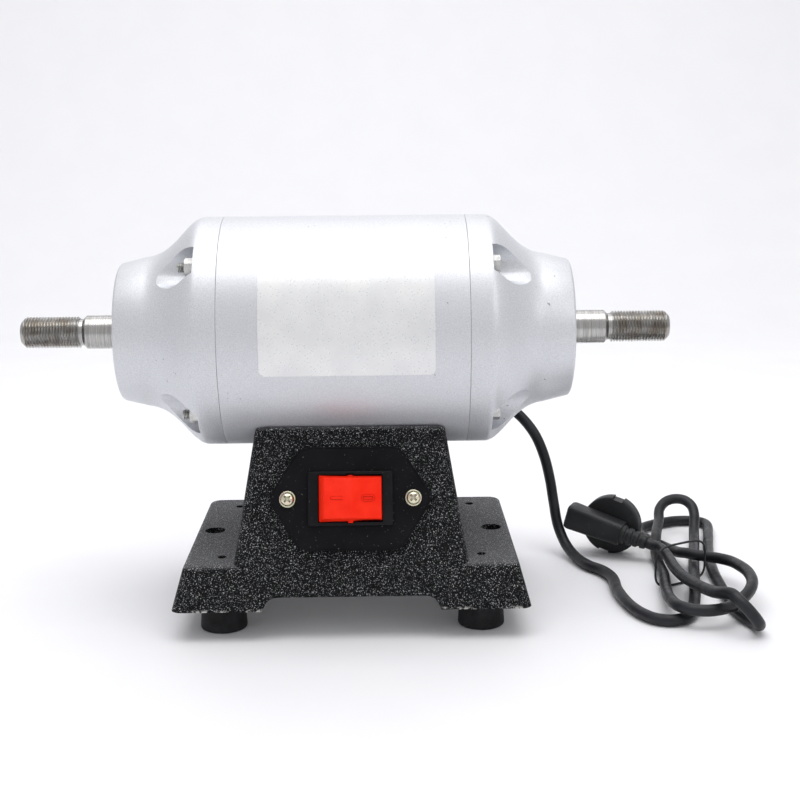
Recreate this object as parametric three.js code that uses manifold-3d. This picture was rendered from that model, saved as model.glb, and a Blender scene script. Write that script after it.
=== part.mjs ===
// Double-ended polishing lathe: a closed motor with a threaded shaft end on each side, held in the
// saddle of a hollow cast base, with a rocker switch on the sloping front and a mains lead at the back.
// Millimetres, +Z up, +X along the shaft to the right, -Y towards the person at the lathe.
// The origin lies on the table, under the middle of the shaft.
import * as THREE from "three";
import { ConvexGeometry } from "three/addons/geometries/ConvexGeometry.js";
import { mergeVertices } from "three/addons/utils/BufferGeometryUtils.js";
import Module from "manifold-3d";

const wasm = await Module();
wasm.setup();

// Clearances and facets
const gap = 0.3; // between two pieces that touch
const fit = 0.1; // between a shaft or bore and what is pushed onto it
const overrun = 1; // by which a cut passes the face that it opens
const housingFacets = 40;
const shaftFacets = 24;
const smallFacets = 12;
const screwFacets = 12;

// Motor housing
const axisHeight = 142.2;
const bodyDiameter = 115.8;
const shellLength = 120.8;
const shellWall = 3.5;
const shoulderLand = 9.5; // straight part of an end bell, next to the shell
const shoulderReach = 9;
const flareLength = 30.5;
const flareReach = 16;
const flareRise = 1.8;
const flareSteps = 5;
const hubDiameter = 76;
const hubLength = 13.2;
const rimDiameter = 69.6;
const rimRound = 1.2;
const spigotLength = 5;
const spigotWall = 4;
const chamberDiameter = 74;
const chamberLength = 12;
const chamberNeckDiameter = 54;
const hubWall = 2.6; // between the bearing seat and the cap recess

// Through bolts
const boltCircleDiameter = 102;
const boltDiameter = 5;
const boltAngle = 45;
const boltSeatWall = 5;
const boltTipLength = 3.5;
const pocketDiameter = 20;
const pocketDepth = 11.6; // from the seam to the seat of the nut
const nutWidth = 8;
const nutHeight = 4.2;
const boltHeadHeight = 3.6;

// Shaft and rotor
const shaftLength = 330.7;
const shaftDiameter = 17;
const rotorShaftDiameter = 20;
const threadDiameter = 16;
const threadReliefDiameter = 13.6;
const threadReliefLength = 2;
const threadLength = 29.5;
const tipChamfer = 2.4;
const rotorDiameter = 59.2;
const stackLength = 70;
const endRingLength = 8;
const endRingWall = 11;
const endRingStep = 0.6;
const airGap = 0.4;
const windingLength = 22;
const windingInnerDiameter = 64;
const windingOuterDiameter = 96;

// Ball bearings
const bearingDiameter = 40;
const bearingWidth = 12;
const bearingRingWall = 2.8;
const bearingCageWidth = 3;
const bearingCageWall = 1.4;
const ballCount = 8;
const washerThickness = 0.4;
const washerWave = 0.3;
const washerWaves = 3;
const washerRim = 3;
const ballFacets = 6;

// Dust caps
const capDiameter = 36;
const capThickness = 2.2;
const capShaftClearance = 0.6;

// Label plate, bare
const labelWidth = 84;
const labelShift = 1.5; // of its middle, right of the middle of the shaft
const labelThickness = 0.3;
const labelLowAngle = -14;
const labelHighAngle = 42;
const labelSteps = 10;

// Base casting
const baseShift = 2; // of the base's middle to the right of the shaft's middle
const skirtDepth = 138;
const skirtBottom = 15.2;
const skirtFlare = 5.7; // of each side of the skirt, from the flange's side out to its bottom edge
const flangeTop = 36;
const flangeReach = 24.4; // of the flange past each side of the pedestal's foot
const faceTilt = 17.4; // lean of the front and back faces from upright
const pedestalFlare = 10.8; // of each side of the pedestal, from its top out to its foot
const pedestalReach = 6.9; // of the pedestal's top past the middle of the lead's hole
const pedestalRise = 15.7; // of the pedestal's front and back edges past the shell's underside
const baseWall = 5;
const planCorner = 5;
const edgeRound = 2;
const archWidth = 80;
const archHeight = 6.4;
const archSplay = 4;
const stationHoleInset = 8.9; // of a big hole's middle from the flange's side
const stationHoleDiameter = 10.6;
const cornerSteps = 3;

// Feet and bottom cover
const footInsetX = 23.2; // of a foot's middle from the skirt's side
const footInsetY = 22.6; // of a foot's middle from the skirt's front or back
const footDiameter = 23.3;
const footTopDiameter = 20.6;
const footLength = 22;
const footRound = 1;
const footFacets = 16;
const footCounterbore = 11;
const footCounterboreDepth = 9;
const coverThickness = 1.5;
const bossDiameter = 13;
const footScrewDiameter = 4;
const footScrewHeadDiameter = 8;
const footScrewHeadHeight = 2.6;
const footScrewRecess = 2.4; // from the flange's top down to the end of a foot screw

// Motor screws, up through the saddle into the shell
const motorScrewInset = 13.5; // of a motor screw from the lead, towards the base's middle
const motorScrewDiameter = 6;
const motorScrewHeadDiameter = 10;
const motorScrewHeadHeight = 4;

// Switch plate and its screws
const plateWidth = 80.8;
const plateHeight = 50.4;
const plateFlat = 49;
const plateThickness = 2.4;
const plateCorner = 5;
const plateDrop = 34.9; // of its middle down the sloping face, from the pedestal's top edge
const plateRimWidth = 0.9;
const plateRimHeight = 0.4;
const plateScrewSpacing = 61;
const plateScrewDiameter = 3.5;
const plateScrewHeadDiameter = 6.6;
const plateScrewHeadHeight = 2;
const plateScrewLength = 12;
const cupWasherDiameter = 8.7;
const cupWasherThickness = 0.8;

// Rocker switch
const bezelWidth = 41.2;
const bezelHeight = 26.4;
const bezelThickness = 2.3;
const bezelChamfer = 0.8;
const switchBodyWidth = 36.5;
const switchBodyHeight = 25;
const switchBodyDepth = 20;
const rockerEndRadius = 15.3;
const rockerHeight = 22.4;
const rockerDraft = 0.9;
const rockerTilt = 11;
const rockerValley = 3.9; // over the pivot
const rockerSkirt = 4.6; // under the pivot
const pivotDepth = 1.2;
const pivotDiameter = 3;
const pivotLength = 0.6;
const rockerClearance = 0.3;
const rockerEndSteps = 3;
const rockerSolveSteps = 6;
const wellDepth = 10;
const markLength = 6.4;
const markWidth = 1.2;
const markHeight = 0.4;
const ringMarkHeight = 3;
const ringMarkLine = 0.6;
const bladeWidth = 6.3;
const bladeThickness = 0.8;
const bladeLength = 9;
const bladeSpacing = 14;

// Capacitor, clamp and terminal block inside the base
const capacitorDiameter = 30;
const capacitorLength = 58;
const capacitorRound = 2;
const capacitorInset = 9.2; // of its right end from the inside of the pedestal's foot
const capacitorBack = 14; // of its axis, behind the middle of the base
const clampWidth = 14;
const clampThickness = 1.2;
const clampFoot = 12;
const clampScrewDiameter = 4;
const clampScrewHeadDiameter = 7;
const clampScrewHeadHeight = 2.2;
const blockWidth = 24;
const blockDepth = 20;
const blockHeight = 14;
const wireHoleDiameter = 3.4;
const wireHoleSpacing = 7;
const wireHoles = 3;

// Motor lead through the saddle
const leadHoleDiameter = 7.6;
const leadClearance = 0.5; // between the stator core's end and the lead beside it
const grommetDiameter = 10;
const grommetLip = 1.2;
const grommetWall = 1;
const leadDiameter = 4;

// Mains lead
const cordDiameter = 6;
const cordSides = 8;
const cordStep = 14;
const hankSides = 6;
const hankStep = 12;
const gapSampleStep = 1.5;
const gapSkipTurns = 1.5; // times the cord's girth: two places nearer along the tube aren't compared
const reliefAcross = 18; // of the strain relief, right of the base's middle
const reliefDrop = 30.9; // of the strain relief, down the sloping back from the pedestal's top edge
const reliefLength = 24;
const reliefRootDiameter = 12;
const reliefTipDiameter = 8;
const reliefFlangeDiameter = 16;
const reliefFlangeThickness = 2;
const reliefGrooves = 4;
const reliefGrooveDepth = 0.9;
const reliefInner = 4; // of the relief, past the inside of the wall

// The lead's route from the strain relief down to the table
const freeRoute = [
  [20, 77.1, 78.5],
  [20.5, 85, 81],
  [25.5, 96, 85],
  [37, 103.5, 89],
  [52, 104, 92],
  [68, 99, 91.5],
  [84, 92, 87],
  [97, 85, 79],
  [106, 80, 68.5],
  [111.5, 77.5, 56],
  [115, 76, 42],
  [117, 73.5, 29],
  [119, 69, 16.5],
  [122.5, 60.2, 7.6],
  [126.4, 48.7, 3.8],
  [131.6, 33.5, 3.2],
  [137.9, 23.9, 3.2],
  [141.5, 11.3, 3.2],
  [140.8, -7.7, 3.2],
];

// The route goes on through the loosely folded hank to the plug
const hankRoute = [
  [141.9, -24.3, 3.2],
  [144.7, -38.8, 3.2],
  [147.9, -46.8, 3.2],
  [152.6, -53.2, 3.2],
  [159.4, -55.9, 3.2],
  [166.5, -53.3, 3.2],
  [171.9, -45.6, 3.2],
  [175.6, -34.5, 3.2],
  [179.2, -20.8, 4.4],
  [181.9, -7.6, 5.6],
  [185.1, 7.8, 5.5],
  [190.6, 32.7, 3.5],
  [195.3, 53.8, 3.5],
  [199.9, 74, 3.8],
  [201.5, 81.7, 5],
  [202.7, 87.3, 7.5],
  [204.4, 95.7, 14.4],
  [203.5, 100.1, 18.1],
  [199.7, 103.6, 20.6],
  [194.1, 105.2, 20.9],
  [188.5, 103.7, 19.5],
  [184.2, 98.9, 16.3],
  [182.1, 89.8, 12],
  [178.2, 76, 10.1],
  [175.5, 65, 8.4],
  [173.4, 54.5, 4.8],
  [172.1, 43.5, 3.2],
  [170.9, 27.5, 3.3],
  [168.7, 7, 5.3],
  [165.2, -15, 5.8],
  [162.4, -39.8, 8.6],
  [164, -54.2, 9.9],
  [169.4, -59.4, 9.9],
  [175.9, -61.1, 9.9],
  [182.9, -59.5, 9.9],
  [189.7, -54.9, 9.9],
  [196, -47.8, 10.6],
  [201.8, -40.5, 12.2],
  [206.3, -29.9, 13.6],
  [208, -14.9, 14],
  [206.7, 0.7, 13],
  [204.7, 10, 12.1],
  [200.9, 16.8, 11.4],
  [195.7, 21.9, 10.9],
  [189.9, 26.1, 10.7],
  [186, 31, 10.2],
  [183.5, 39, 8.2],
  [181.9, 52.9, 5.4],
  [179.2, 69, 3.2],
  [175.1, 78.1, 3.2],
  [171.8, 87.4, 3.2],
  [171.4, 96.6, 3.2],
  [174.9, 104, 3.2],
  [181.2, 109.9, 3.2],
  [188.5, 114.4, 3.2],
  [196.8, 118.4, 3.2],
  [205.1, 118.9, 3.2],
  [211.5, 116.7, 3.2],
  [215.2, 111, 3.2],
  [211.3, 87.6, 3.2],
  [206.6, 67.7, 3.2],
  [202.6, 48.7, 3.2],
  [199.6, 30.6, 3.2],
  [197.5, 12.3, 3.2],
  [196.3, -5.2, 3.2],
  [195.4, -22.7, 3.2],
  [194.8, -39.4, 3.2],
  [196.8, -51.6, 3.2],
  [199.8, -62.6, 3.5],
  [199.8, -69, 5.1],
  [197.3, -73.4, 9.1],
  [193.2, -74.3, 14.2],
  [189.1, -71.2, 18.3],
  [186.6, -65.4, 19.8],
  [181.8, -54.8, 17],
  [178.8, -41, 14.6],
  [176.4, -26.1, 12.6],
  [174.6, -9.4, 11],
  [174.1, 7.9, 10],
  [174.4, 25.2, 10],
  [174.3, 34, 10],
  [174, 39, 9.9],
  [173.4, 42.4, 9.9],
  [171.9, 45.2, 9.9],
  [169.8, 47.1, 10.1],
  [167.3, 48.5, 10.8],
];

// Plug, standing on the rim of its disc
const plugDiscDiameter = 33.6;
const plugDiscThickness = 8;
const plugDiscRound = 1.6;
const plugGripWidth = 14.5;
const plugGripEndWidth = 12.5;
const plugGripDepth = 13;
const plugGripBack = 24; // from the disc's middle to the grip's free end
const plugGripFront = 9; // from the disc's middle to the root of the plug's relief
const plugGripRound = 3;
const plugGripTilt = 14.5; // of the grip below level, seen from the front
const plugTurn = 25; // of the plug, seen from above
const plugReliefLength = 15;
const plugReliefRoot = 11.5;
const plugReliefTip = 7.6;
const plugReliefGrooves = 3;
const plugGrooveDepth = 0.8;
const plugNotchWidth = 6;
const plugNotchDepth = 1.6;
const pinDiameter = 4.8;
const pinLength = 19;
const pinSpacing = 19;
const pinSocket = 5;
const pinRound = 1.2;

// Tie, a loose loop of wire round three strands of the hank
const tieDiameter = 1.2;
const tieWidth = 35;
const tieHeight = 22.4;
const tieRaise = 12.1; // of its middle over the table
const tieSteps = 24;
const tieSides = 5;
const tieAcross = 177.4;
const tieBack = 7.2;
const tieTurn = 30; // of the tie's plane, seen from above
const tieBulgeShare = 0.5; // one is a round loop, less is a squarer one

// Shares of a screw's head
const headEdgeShare = 0.4;
const headCrownShare = 0.6;
const crossWidthShare = 0.16;
const crossLengthShare = 0.56;
const crossDepthShare = 0.6;
const hexChamferShare = 0.92;
const grooveWidthShare = 0.4;

// Materials
const finish = (color, roughness, metalness) =>
  new THREE.MeshStandardMaterial({ color, roughness, metalness });
const silverPaint = finish(0xd3d4d8, 0.45, 0.35);
const blackPaint = finish(0x242526, 0.6, 0.1);
const brightSteel = finish(0xb9b4ac, 0.28, 1);
const zinc = finish(0xc9c9c4, 0.35, 1);
const yellowZinc = finish(0xc8bd7c, 0.35, 1);
const coreSteel = finish(0x6c6e72, 0.55, 0.9);
const castAluminium = finish(0xa9abad, 0.5, 0.9);
const copperWire = finish(0xa4562c, 0.45, 0.6);
const blackPlastic = finish(0x141416, 0.5, 0);
const redPlastic = finish(0xe1200f, 0.35, 0);
const whitePlastic = finish(0xe2e0d8, 0.5, 0);
const blackRubber = finish(0x17181a, 0.8, 0);
const cordSheath = finish(0x1b1c1f, 0.55, 0);
const brass = finish(0xc2a14d, 0.3, 1);
const labelFoil = finish(0xdfdedc, 0.3, 0.2);

// Sizes that several pieces share
const bodyRadius = bodyDiameter / 2;
const shellRadius = bodyRadius - shellWall;
const seam = shellLength / 2;
const boltSeat = seam + pocketDepth;
const flareEnd = seam + shoulderLand + flareLength;
const hubFace = flareEnd + hubLength;
const capRecess = capThickness + 2 * gap;
const lipPlace = hubFace - capRecess - hubWall;
const washerRoom = washerThickness + 2 * washerWave + 2 * gap;
const bearingOuterFace = lipPlace - washerRoom;
const bearingMiddle = bearingOuterFace - bearingWidth / 2;
const bearingInnerFace = bearingOuterFace - bearingWidth;
const shaftEnd = shaftLength / 2;
const threadStart = shaftEnd - threadLength;
const raceGap = (bearingDiameter - shaftDiameter) / 2 - 2 * bearingRingWall - fit;
const ballPitchRadius = shaftDiameter / 2 + fit + bearingRingWall + raceGap / 2;
const ballRadius = raceGap / 2 - gap;
const boltCircleRadius = boltCircleDiameter / 2;
const slopeRun = Math.tan(THREE.MathUtils.degToRad(faceTilt));
const pedestalTop = axisHeight - bodyRadius + pedestalRise;
const slopeLength = (pedestalTop - skirtBottom) * Math.hypot(1, slopeRun);
const plateMiddle = slopeLength - plateDrop; // up the sloping face from its bottom edge
const reliefUp = slopeLength - reliefDrop;
const leadReach = stackLength / 2 + leadClearance + leadDiameter / 2; // left of the shaft's middle
const leadPlace = baseShift + leadReach; // left of the base's middle
const motorScrewSpacing = 2 * (leadPlace - motorScrewInset);
const pedestalTopWidth = 2 * (leadPlace + pedestalReach);
const pedestalFootWidth = pedestalTopWidth + 2 * pedestalFlare;
const flangeWidth = pedestalFootWidth + 2 * flangeReach;
const skirtWidth = flangeWidth + 2 * skirtFlare;
const stationHoleSpacing = flangeWidth - 2 * stationHoleInset;
const footSpacingX = skirtWidth - 2 * footInsetX;
const footSpacingY = skirtDepth - 2 * footInsetY;
const capacitorEnd = pedestalFootWidth / 2 - baseWall - capacitorInset; // right of the base's middle
const capacitorAcross = capacitorEnd - capacitorLength / 2;
const coverBottom = footLength + gap;
const coverTop = coverBottom + coverThickness;
const bossBottom = coverTop + gap;
const saddleRadius = bodyRadius + gap;
const capacitorHeight = coverTop + gap + capacitorDiameter / 2;
const clampReach = capacitorDiameter / 2 + gap + clampThickness + clampFoot / 2;

// Turns geometry into a manifold solid that faces out, after a placing matrix
function solid(geometry, matrix = new THREE.Matrix4()) {
  const bare = new THREE.BufferGeometry();
  const flat = geometry.index ? geometry.toNonIndexed() : geometry;
  bare.setAttribute("position", flat.getAttribute("position").clone());
  bare.applyMatrix4(matrix);
  const welded = mergeVertices(bare);
  const corners = welded.index.array;
  const triangles = [];
  for (let i = 0; i < corners.length; i += 3) {
    const [a, b, c] = corners.slice(i, i + 3);
    if (a !== b && b !== c && c !== a) triangles.push(a, b, c);
  }
  const vertProperties = welded.getAttribute("position").array;
  const closed = (order) => {
    const triVerts = new Uint32Array(order);
    return new wasm.Manifold(new wasm.Mesh({ numProp: 3, vertProperties, triVerts }));
  };
  const made = closed(triangles);
  return made.volume() >= 0 ? made : closed(triangles.reverse());
}

// A named mesh of a finished solid
function piece(name, body, material) {
  const made = body.getMesh();
  const geometry = new THREE.BufferGeometry();
  geometry.setAttribute("position", new THREE.BufferAttribute(new Float32Array(made.vertProperties), 3));
  geometry.setIndex(new THREE.BufferAttribute(new Uint32Array(made.triVerts), 1));
  geometry.computeVertexNormals();
  const mesh = new THREE.Mesh(geometry, material);
  mesh.name = name;
  return mesh;
}

const joined = (bodies) => bodies.reduce((whole, body) => whole.add(body));
const cut = (body, tools) => tools.reduce((rest, tool) => rest.subtract(tool), body);
const placed = (x, y, z) => new THREE.Matrix4().makeTranslation(x, y, z);
const radians = THREE.MathUtils.degToRad;
const alongX = new THREE.Matrix4().makeRotationZ(-Math.PI / 2);
const alongZ = new THREE.Matrix4().makeRotationX(Math.PI / 2);
const mirrorX = (body, side) => (side > 0 ? body : body.mirror([1, 0, 0]));

// A turned solid; the profile holds [place along the axis, radius] and closes on itself
function turned(profile, facets, direction) {
  const points = profile.map(([along, radius]) => new THREE.Vector2(radius, along));
  points.push(points[0].clone());
  return solid(new THREE.LatheGeometry(points, facets), direction);
}

// A ring or, with no inner radius, a rod between two places on its axis
function ring(from, to, outer, inner, facets, direction = alongX) {
  const profile = [
    [from, inner],
    [from, outer],
    [to, outer],
    [to, inner],
  ];
  return turned(profile, facets, direction);
}

const rod = (from, to, radius, facets, direction = alongX) =>
  ring(from, to, radius, 0, facets, direction);

function block(width, depth, height, matrix) {
  return solid(new THREE.BoxGeometry(width, depth, height), matrix);
}

// The corner points of a level rectangle with rounded corners
function roundedRectangle(width, depth, corner, z) {
  const points = [];
  for (const [sideX, sideY, first] of [
    [1, 1, 0],
    [-1, 1, 1],
    [-1, -1, 2],
    [1, -1, 3],
  ]) {
    for (let i = 0; i <= cornerSteps; i++) {
      const angle = ((first + i / cornerSteps) * Math.PI) / 2;
      const x = sideX * (width / 2 - corner) + corner * Math.cos(angle);
      const y = sideY * (depth / 2 - corner) + corner * Math.sin(angle);
      points.push(new THREE.Vector3(x, y, z));
    }
  }
  return points;
}

const hull = (points, matrix) => solid(new ConvexGeometry(points), matrix);

// A flat outline whose corners are rounded off
function roundedOutline(corners, corner) {
  const shape = new THREE.Shape();
  corners.forEach((point, i) => {
    const before = corners[(i + corners.length - 1) % corners.length];
    const after = corners[(i + 1) % corners.length];
    const start = point.clone().add(before.clone().sub(point).setLength(corner));
    const end = point.clone().add(after.clone().sub(point).setLength(corner));
    if (i === 0) shape.moveTo(start.x, start.y);
    else shape.lineTo(start.x, start.y);
    shape.quadraticCurveTo(point.x, point.y, end.x, end.y);
  });
  shape.closePath();
  return shape;
}

function extruded(shape, depth, matrix) {
  const options = { depth, bevelEnabled: false, curveSegments: cornerSteps };
  return solid(new THREE.ExtrudeGeometry(shape, options), matrix);
}

// A screw that stands on z = 0 with its head above and its shank below
function roundHeadScrew(headDiameter, headHeight, diameter, length, hasCross = false) {
  const profile = [
    [-length, 0],
    [-length, diameter / 2],
    [0, diameter / 2],
    [0, headDiameter / 2],
    [headHeight * headEdgeShare, headDiameter / 2],
    [headHeight, (headDiameter / 2) * headCrownShare],
    [headHeight, 0],
  ];
  const body = turned(profile, screwFacets, alongZ);
  if (!hasCross) return body;
  const slotWidth = headDiameter * crossWidthShare;
  const slotLength = headDiameter * crossLengthShare;
  const slotDepth = headHeight * crossDepthShare;
  const slotPlace = placed(0, 0, headHeight);
  return cut(body, [
    block(slotLength, slotWidth, 2 * slotDepth, slotPlace),
    block(slotWidth, slotLength, 2 * slotDepth, slotPlace),
  ]);
}

function hexagon(width, from, to, direction) {
  return solid(
    new THREE.CylinderGeometry(width / Math.sqrt(3), width / Math.sqrt(3), to - from, 6),
    direction.clone().multiply(placed(0, (from + to) / 2, 0)),
  );
}

// A hexagonal head or nut with its outer corners chamfered, from one place to another on its axis
function hexHead(width, from, to, outward) {
  const across = width / Math.sqrt(3);
  const rim = outward > 0 ? to : from;
  const root = outward > 0 ? from : to;
  const chamfer = turned(
    [
      [root, 0],
      [root, across * 2],
      [rim, across * hexChamferShare],
      [rim, 0],
    ],
    screwFacets,
    alongX,
  );
  return hexagon(width, from, to, alongX).intersect(chamfer);
}

// The four bolt places as [name, y, z] from the shaft's axis
const boltPlaces = [
  ["front_top", -1, 1],
  ["back_top", 1, 1],
  ["back_bottom", 1, -1],
  ["front_bottom", -1, -1],
].map(([name, sideY, sideZ]) => [
  name,
  sideY * boltCircleRadius * Math.cos(radians(boltAngle)),
  sideZ * boltCircleRadius * Math.sin(radians(boltAngle)),
]);

const boltHole = (from, to, y, z) =>
  rod(from, to, boltDiameter / 2 + gap, smallFacets, placed(0, y, z).multiply(alongX));

// Holes that go straight down from the shaft's axis through the shell and the saddle
const motorScrewPlaces = [-1, 1].map((side) => baseShift + (side * motorScrewSpacing) / 2);
const downHole = (x, radius) => {
  const depth = saddleRadius + baseWall + overrun;
  return rod(-depth, -(shellRadius - overrun), radius, smallFacets, placed(x, 0, 0).multiply(alongZ));
};
const motorHoles = [
  ...motorScrewPlaces.map((x) => downHole(x, motorScrewDiameter / 2 + gap)),
  downHole(-leadReach, leadHoleDiameter / 2),
];

function motorShell() {
  const tube = ring(-seam + gap / 2, seam - gap / 2, bodyRadius, shellRadius, housingFacets);
  return cut(tube, motorHoles);
}

// The outside of an end bell, from the seam to the hub's face: a shoulder that flares in to the hub
function bellOutline() {
  const shoulder = seam + shoulderLand;
  const hubRadius = hubDiameter / 2;
  const flare = new THREE.CubicBezierCurve(
    new THREE.Vector2(shoulder, bodyRadius),
    new THREE.Vector2(shoulder + shoulderReach, bodyRadius),
    new THREE.Vector2(flareEnd - flareReach, hubRadius + flareRise),
    new THREE.Vector2(flareEnd, hubRadius),
  );
  return [
    [seam + gap / 2, bodyRadius],
    ...flare.getPoints(flareSteps).map((point) => [point.x, point.y]),
    [hubFace - rimRound, rimDiameter / 2],
    [hubFace, rimDiameter / 2 - rimRound],
  ];
}

function endBell(side) {
  const seatRadius = bearingDiameter / 2 + fit;
  const capRadius = capDiameter / 2 + gap;
  const lipRadius = bearingDiameter / 2 - bearingRingWall;
  const spigotRadius = shellRadius - gap;
  const chamberStart = boltSeat - boltSeatWall;
  const profile = [
    ...bellOutline(),
    [hubFace, capRadius],
    [hubFace - capRecess, capRadius],
    [hubFace - capRecess, lipRadius],
    [lipPlace, lipRadius],
    [lipPlace, seatRadius],
    [bearingInnerFace, seatRadius],
    [bearingInnerFace, chamberNeckDiameter / 2],
    [chamberStart + chamberLength, chamberDiameter / 2],
    [chamberStart, chamberDiameter / 2],
    [chamberStart, spigotRadius - spigotWall],
    [seam + gap / 2 - spigotLength, spigotRadius - spigotWall],
    [seam + gap / 2 - spigotLength, spigotRadius],
    [seam + gap / 2, spigotRadius],
  ];
  const bell = turned(profile, housingFacets, alongX);
  const holes = boltPlaces.map(([, y, z]) =>
    boltHole(seam - spigotLength - overrun, boltSeat + overrun, y, z),
  );
  const pockets = boltPlaces.map(([, y, z]) =>
    rod(boltSeat, hubFace + overrun, pocketDiameter / 2, smallFacets, placed(0, y, z).multiply(alongX)),
  );
  return mirrorX(cut(bell, [...holes, ...pockets]), side);
}

function throughBolt() {
  const seat = boltSeat + gap;
  const shank = rod(-(seat + nutHeight + boltTipLength), seat, boltDiameter / 2, screwFacets);
  return shank.add(hexHead(nutWidth, seat, seat + boltHeadHeight, 1));
}

function boltNut() {
  const seat = boltSeat + gap;
  const nut = hexHead(nutWidth, -(seat + nutHeight), -seat, -1);
  return cut(nut, [boltHole(-(hubFace + overrun), 0, 0, 0)]);
}

function statorCore() {
  const outer = shellRadius - fit;
  const inner = rotorDiameter / 2 + airGap;
  const core = ring(-stackLength / 2, stackLength / 2, outer, inner, housingFacets);
  const notches = boltPlaces.flatMap(([, y, z]) => {
    const hole = boltHole(-stackLength, stackLength, y, z);
    const turn = new THREE.Matrix4().makeRotationX(Math.atan2(z, y));
    const mouth = turn.multiply(placed(0, boltCircleRadius + boltDiameter, 0));
    return [hole, block(2 * stackLength, 2 * boltDiameter, boltDiameter + 2 * gap, mouth)];
  });
  return cut(core, notches);
}

function endWinding(side) {
  const start = stackLength / 2 + gap;
  const outer = windingOuterDiameter / 2;
  const inner = windingInnerDiameter / 2;
  return mirrorX(ring(start, start + windingLength, outer, inner, housingFacets), side);
}

// The laminated core with the end rings of the cage cast onto it
function rotorCore() {
  const outer = rotorDiameter / 2;
  const bore = rotorShaftDiameter / 2 + fit;
  const core = ring(-stackLength / 2, stackLength / 2, outer, bore, shaftFacets);
  const reach = stackLength / 2 + endRingLength;
  const rim = outer - endRingStep;
  return core.add(ring(-reach, reach, rim, rim - endRingWall, shaftFacets));
}

function motorShaft() {
  const plain = shaftDiameter / 2;
  const reliefEnd = threadStart - threadReliefLength;
  const half = [
    [bearingInnerFace - gap, rotorShaftDiameter / 2],
    [bearingInnerFace - gap, plain],
    [reliefEnd - (plain - threadReliefDiameter / 2), plain],
    [reliefEnd, threadReliefDiameter / 2],
    [threadStart, threadReliefDiameter / 2],
    [threadStart, threadDiameter / 2],
    [shaftEnd - tipChamfer, threadDiameter / 2],
    [shaftEnd, threadDiameter / 2 - tipChamfer],
    [shaftEnd, 0],
  ];
  const mirrored = half.map(([along, radius]) => [-along, radius]).reverse();
  return turned([...half, ...mirrored], shaftFacets, alongX);
}

function bearingOuter(side) {
  const outer = bearingDiameter / 2;
  const inner = outer - bearingRingWall;
  return mirrorX(ring(bearingInnerFace, bearingOuterFace, outer, inner, shaftFacets), side);
}

function bearingInner(side) {
  const inner = shaftDiameter / 2 + fit;
  const outer = inner + bearingRingWall;
  return mirrorX(ring(bearingInnerFace, bearingOuterFace, outer, inner, shaftFacets), side);
}

// The balls with the cage that spaces them, as one solid
function bearingBalls(side) {
  const cage = ring(
    bearingMiddle - bearingCageWidth / 2,
    bearingMiddle + bearingCageWidth / 2,
    ballPitchRadius + bearingCageWall / 2,
    ballPitchRadius - bearingCageWall / 2,
    shaftFacets,
  );
  const balls = [];
  for (let i = 0; i < ballCount; i++) {
    const angle = (2 * Math.PI * i) / ballCount;
    const across = ballPitchRadius * Math.cos(angle);
    const up = ballPitchRadius * Math.sin(angle);
    const ball = new THREE.SphereGeometry(ballRadius, ballFacets, ballFacets / 2);
    balls.push(solid(ball, placed(bearingMiddle, across, up)));
  }
  return mirrorX(joined([cage, ...balls]), side);
}

function shimRing() {
  const outer = bearingDiameter / 2 - gap;
  return ring(bearingOuterFace + gap, lipPlace - gap, outer, outer - washerRim, shaftFacets);
}

// A spring washer whose rim waves along the shaft, between the left bearing and its lip
function waveWasher() {
  const outer = bearingDiameter / 2 - gap;
  const middle = bearingOuterFace + washerRoom / 2;
  const flat = new THREE.LatheGeometry(
    [
      [outer - washerRim, -washerThickness / 2],
      [outer, -washerThickness / 2],
      [outer, washerThickness / 2],
      [outer - washerRim, washerThickness / 2],
      [outer - washerRim, -washerThickness / 2],
    ].map(([radius, along]) => new THREE.Vector2(radius, along)),
    shaftFacets,
  );
  const places = flat.getAttribute("position");
  for (let i = 0; i < places.count; i++) {
    const angle = Math.atan2(places.getZ(i), places.getX(i));
    places.setY(i, places.getY(i) + washerWave * Math.cos(washerWaves * angle));
  }
  return solid(flat, placed(-middle, 0, 0).multiply(alongX));
}

function dustCap(side) {
  const start = hubFace - capRecess + gap;
  const inner = shaftDiameter / 2 + capShaftClearance;
  return mirrorX(ring(start, start + capThickness, capDiameter / 2, inner, shaftFacets), side);
}

// A bare plate bent round the front of the shell
function labelPlate() {
  const inner = bodyRadius + fit;
  const arc = (radius, i) => {
    const angle = radians(labelLowAngle + ((labelHighAngle - labelLowAngle) * i) / labelSteps);
    return new THREE.Vector2(radius * Math.cos(angle), radius * Math.sin(angle));
  };
  const points = [];
  for (let i = 0; i <= labelSteps; i++) points.push(arc(inner + labelThickness, i));
  for (let i = labelSteps; i >= 0; i--) points.push(arc(inner, i));
  const outward = new THREE.Matrix4().makeBasis(
    new THREE.Vector3(0, -1, 0),
    new THREE.Vector3(0, 0, 1),
    new THREE.Vector3(1, 0, 0),
  );
  const place = placed(labelShift - labelWidth / 2, 0, 0).multiply(outward);
  return extruded(new THREE.Shape(points), labelWidth, place);
}

// Width and depth of the skirt and of the pedestal at a height
const between = (a, b, share) => a + (b - a) * share;
const skirtWidthAt = (z) =>
  between(skirtWidth, flangeWidth, (z - skirtBottom) / (flangeTop - skirtBottom));
const pedestalWidthAt = (z) =>
  between(pedestalFootWidth, pedestalTopWidth, (z - flangeTop) / (pedestalTop - flangeTop));
const depthAt = (z) => skirtDepth - 2 * (z - skirtBottom) * slopeRun;

// A tapered block with rounded corners, shrunk all round by an inset, whose top edge may be rounded off
function taperedBlock(widthAt, bottom, top, inset, edge) {
  const section = (z, shrink) =>
    roundedRectangle(widthAt(z) - 2 * shrink, depthAt(z) - 2 * shrink, planCorner, z);
  const points = [...section(bottom, inset), ...section(top - edge, inset)];
  if (edge > 0) points.push(...section(top, inset + edge));
  return hull(points);
}

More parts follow.
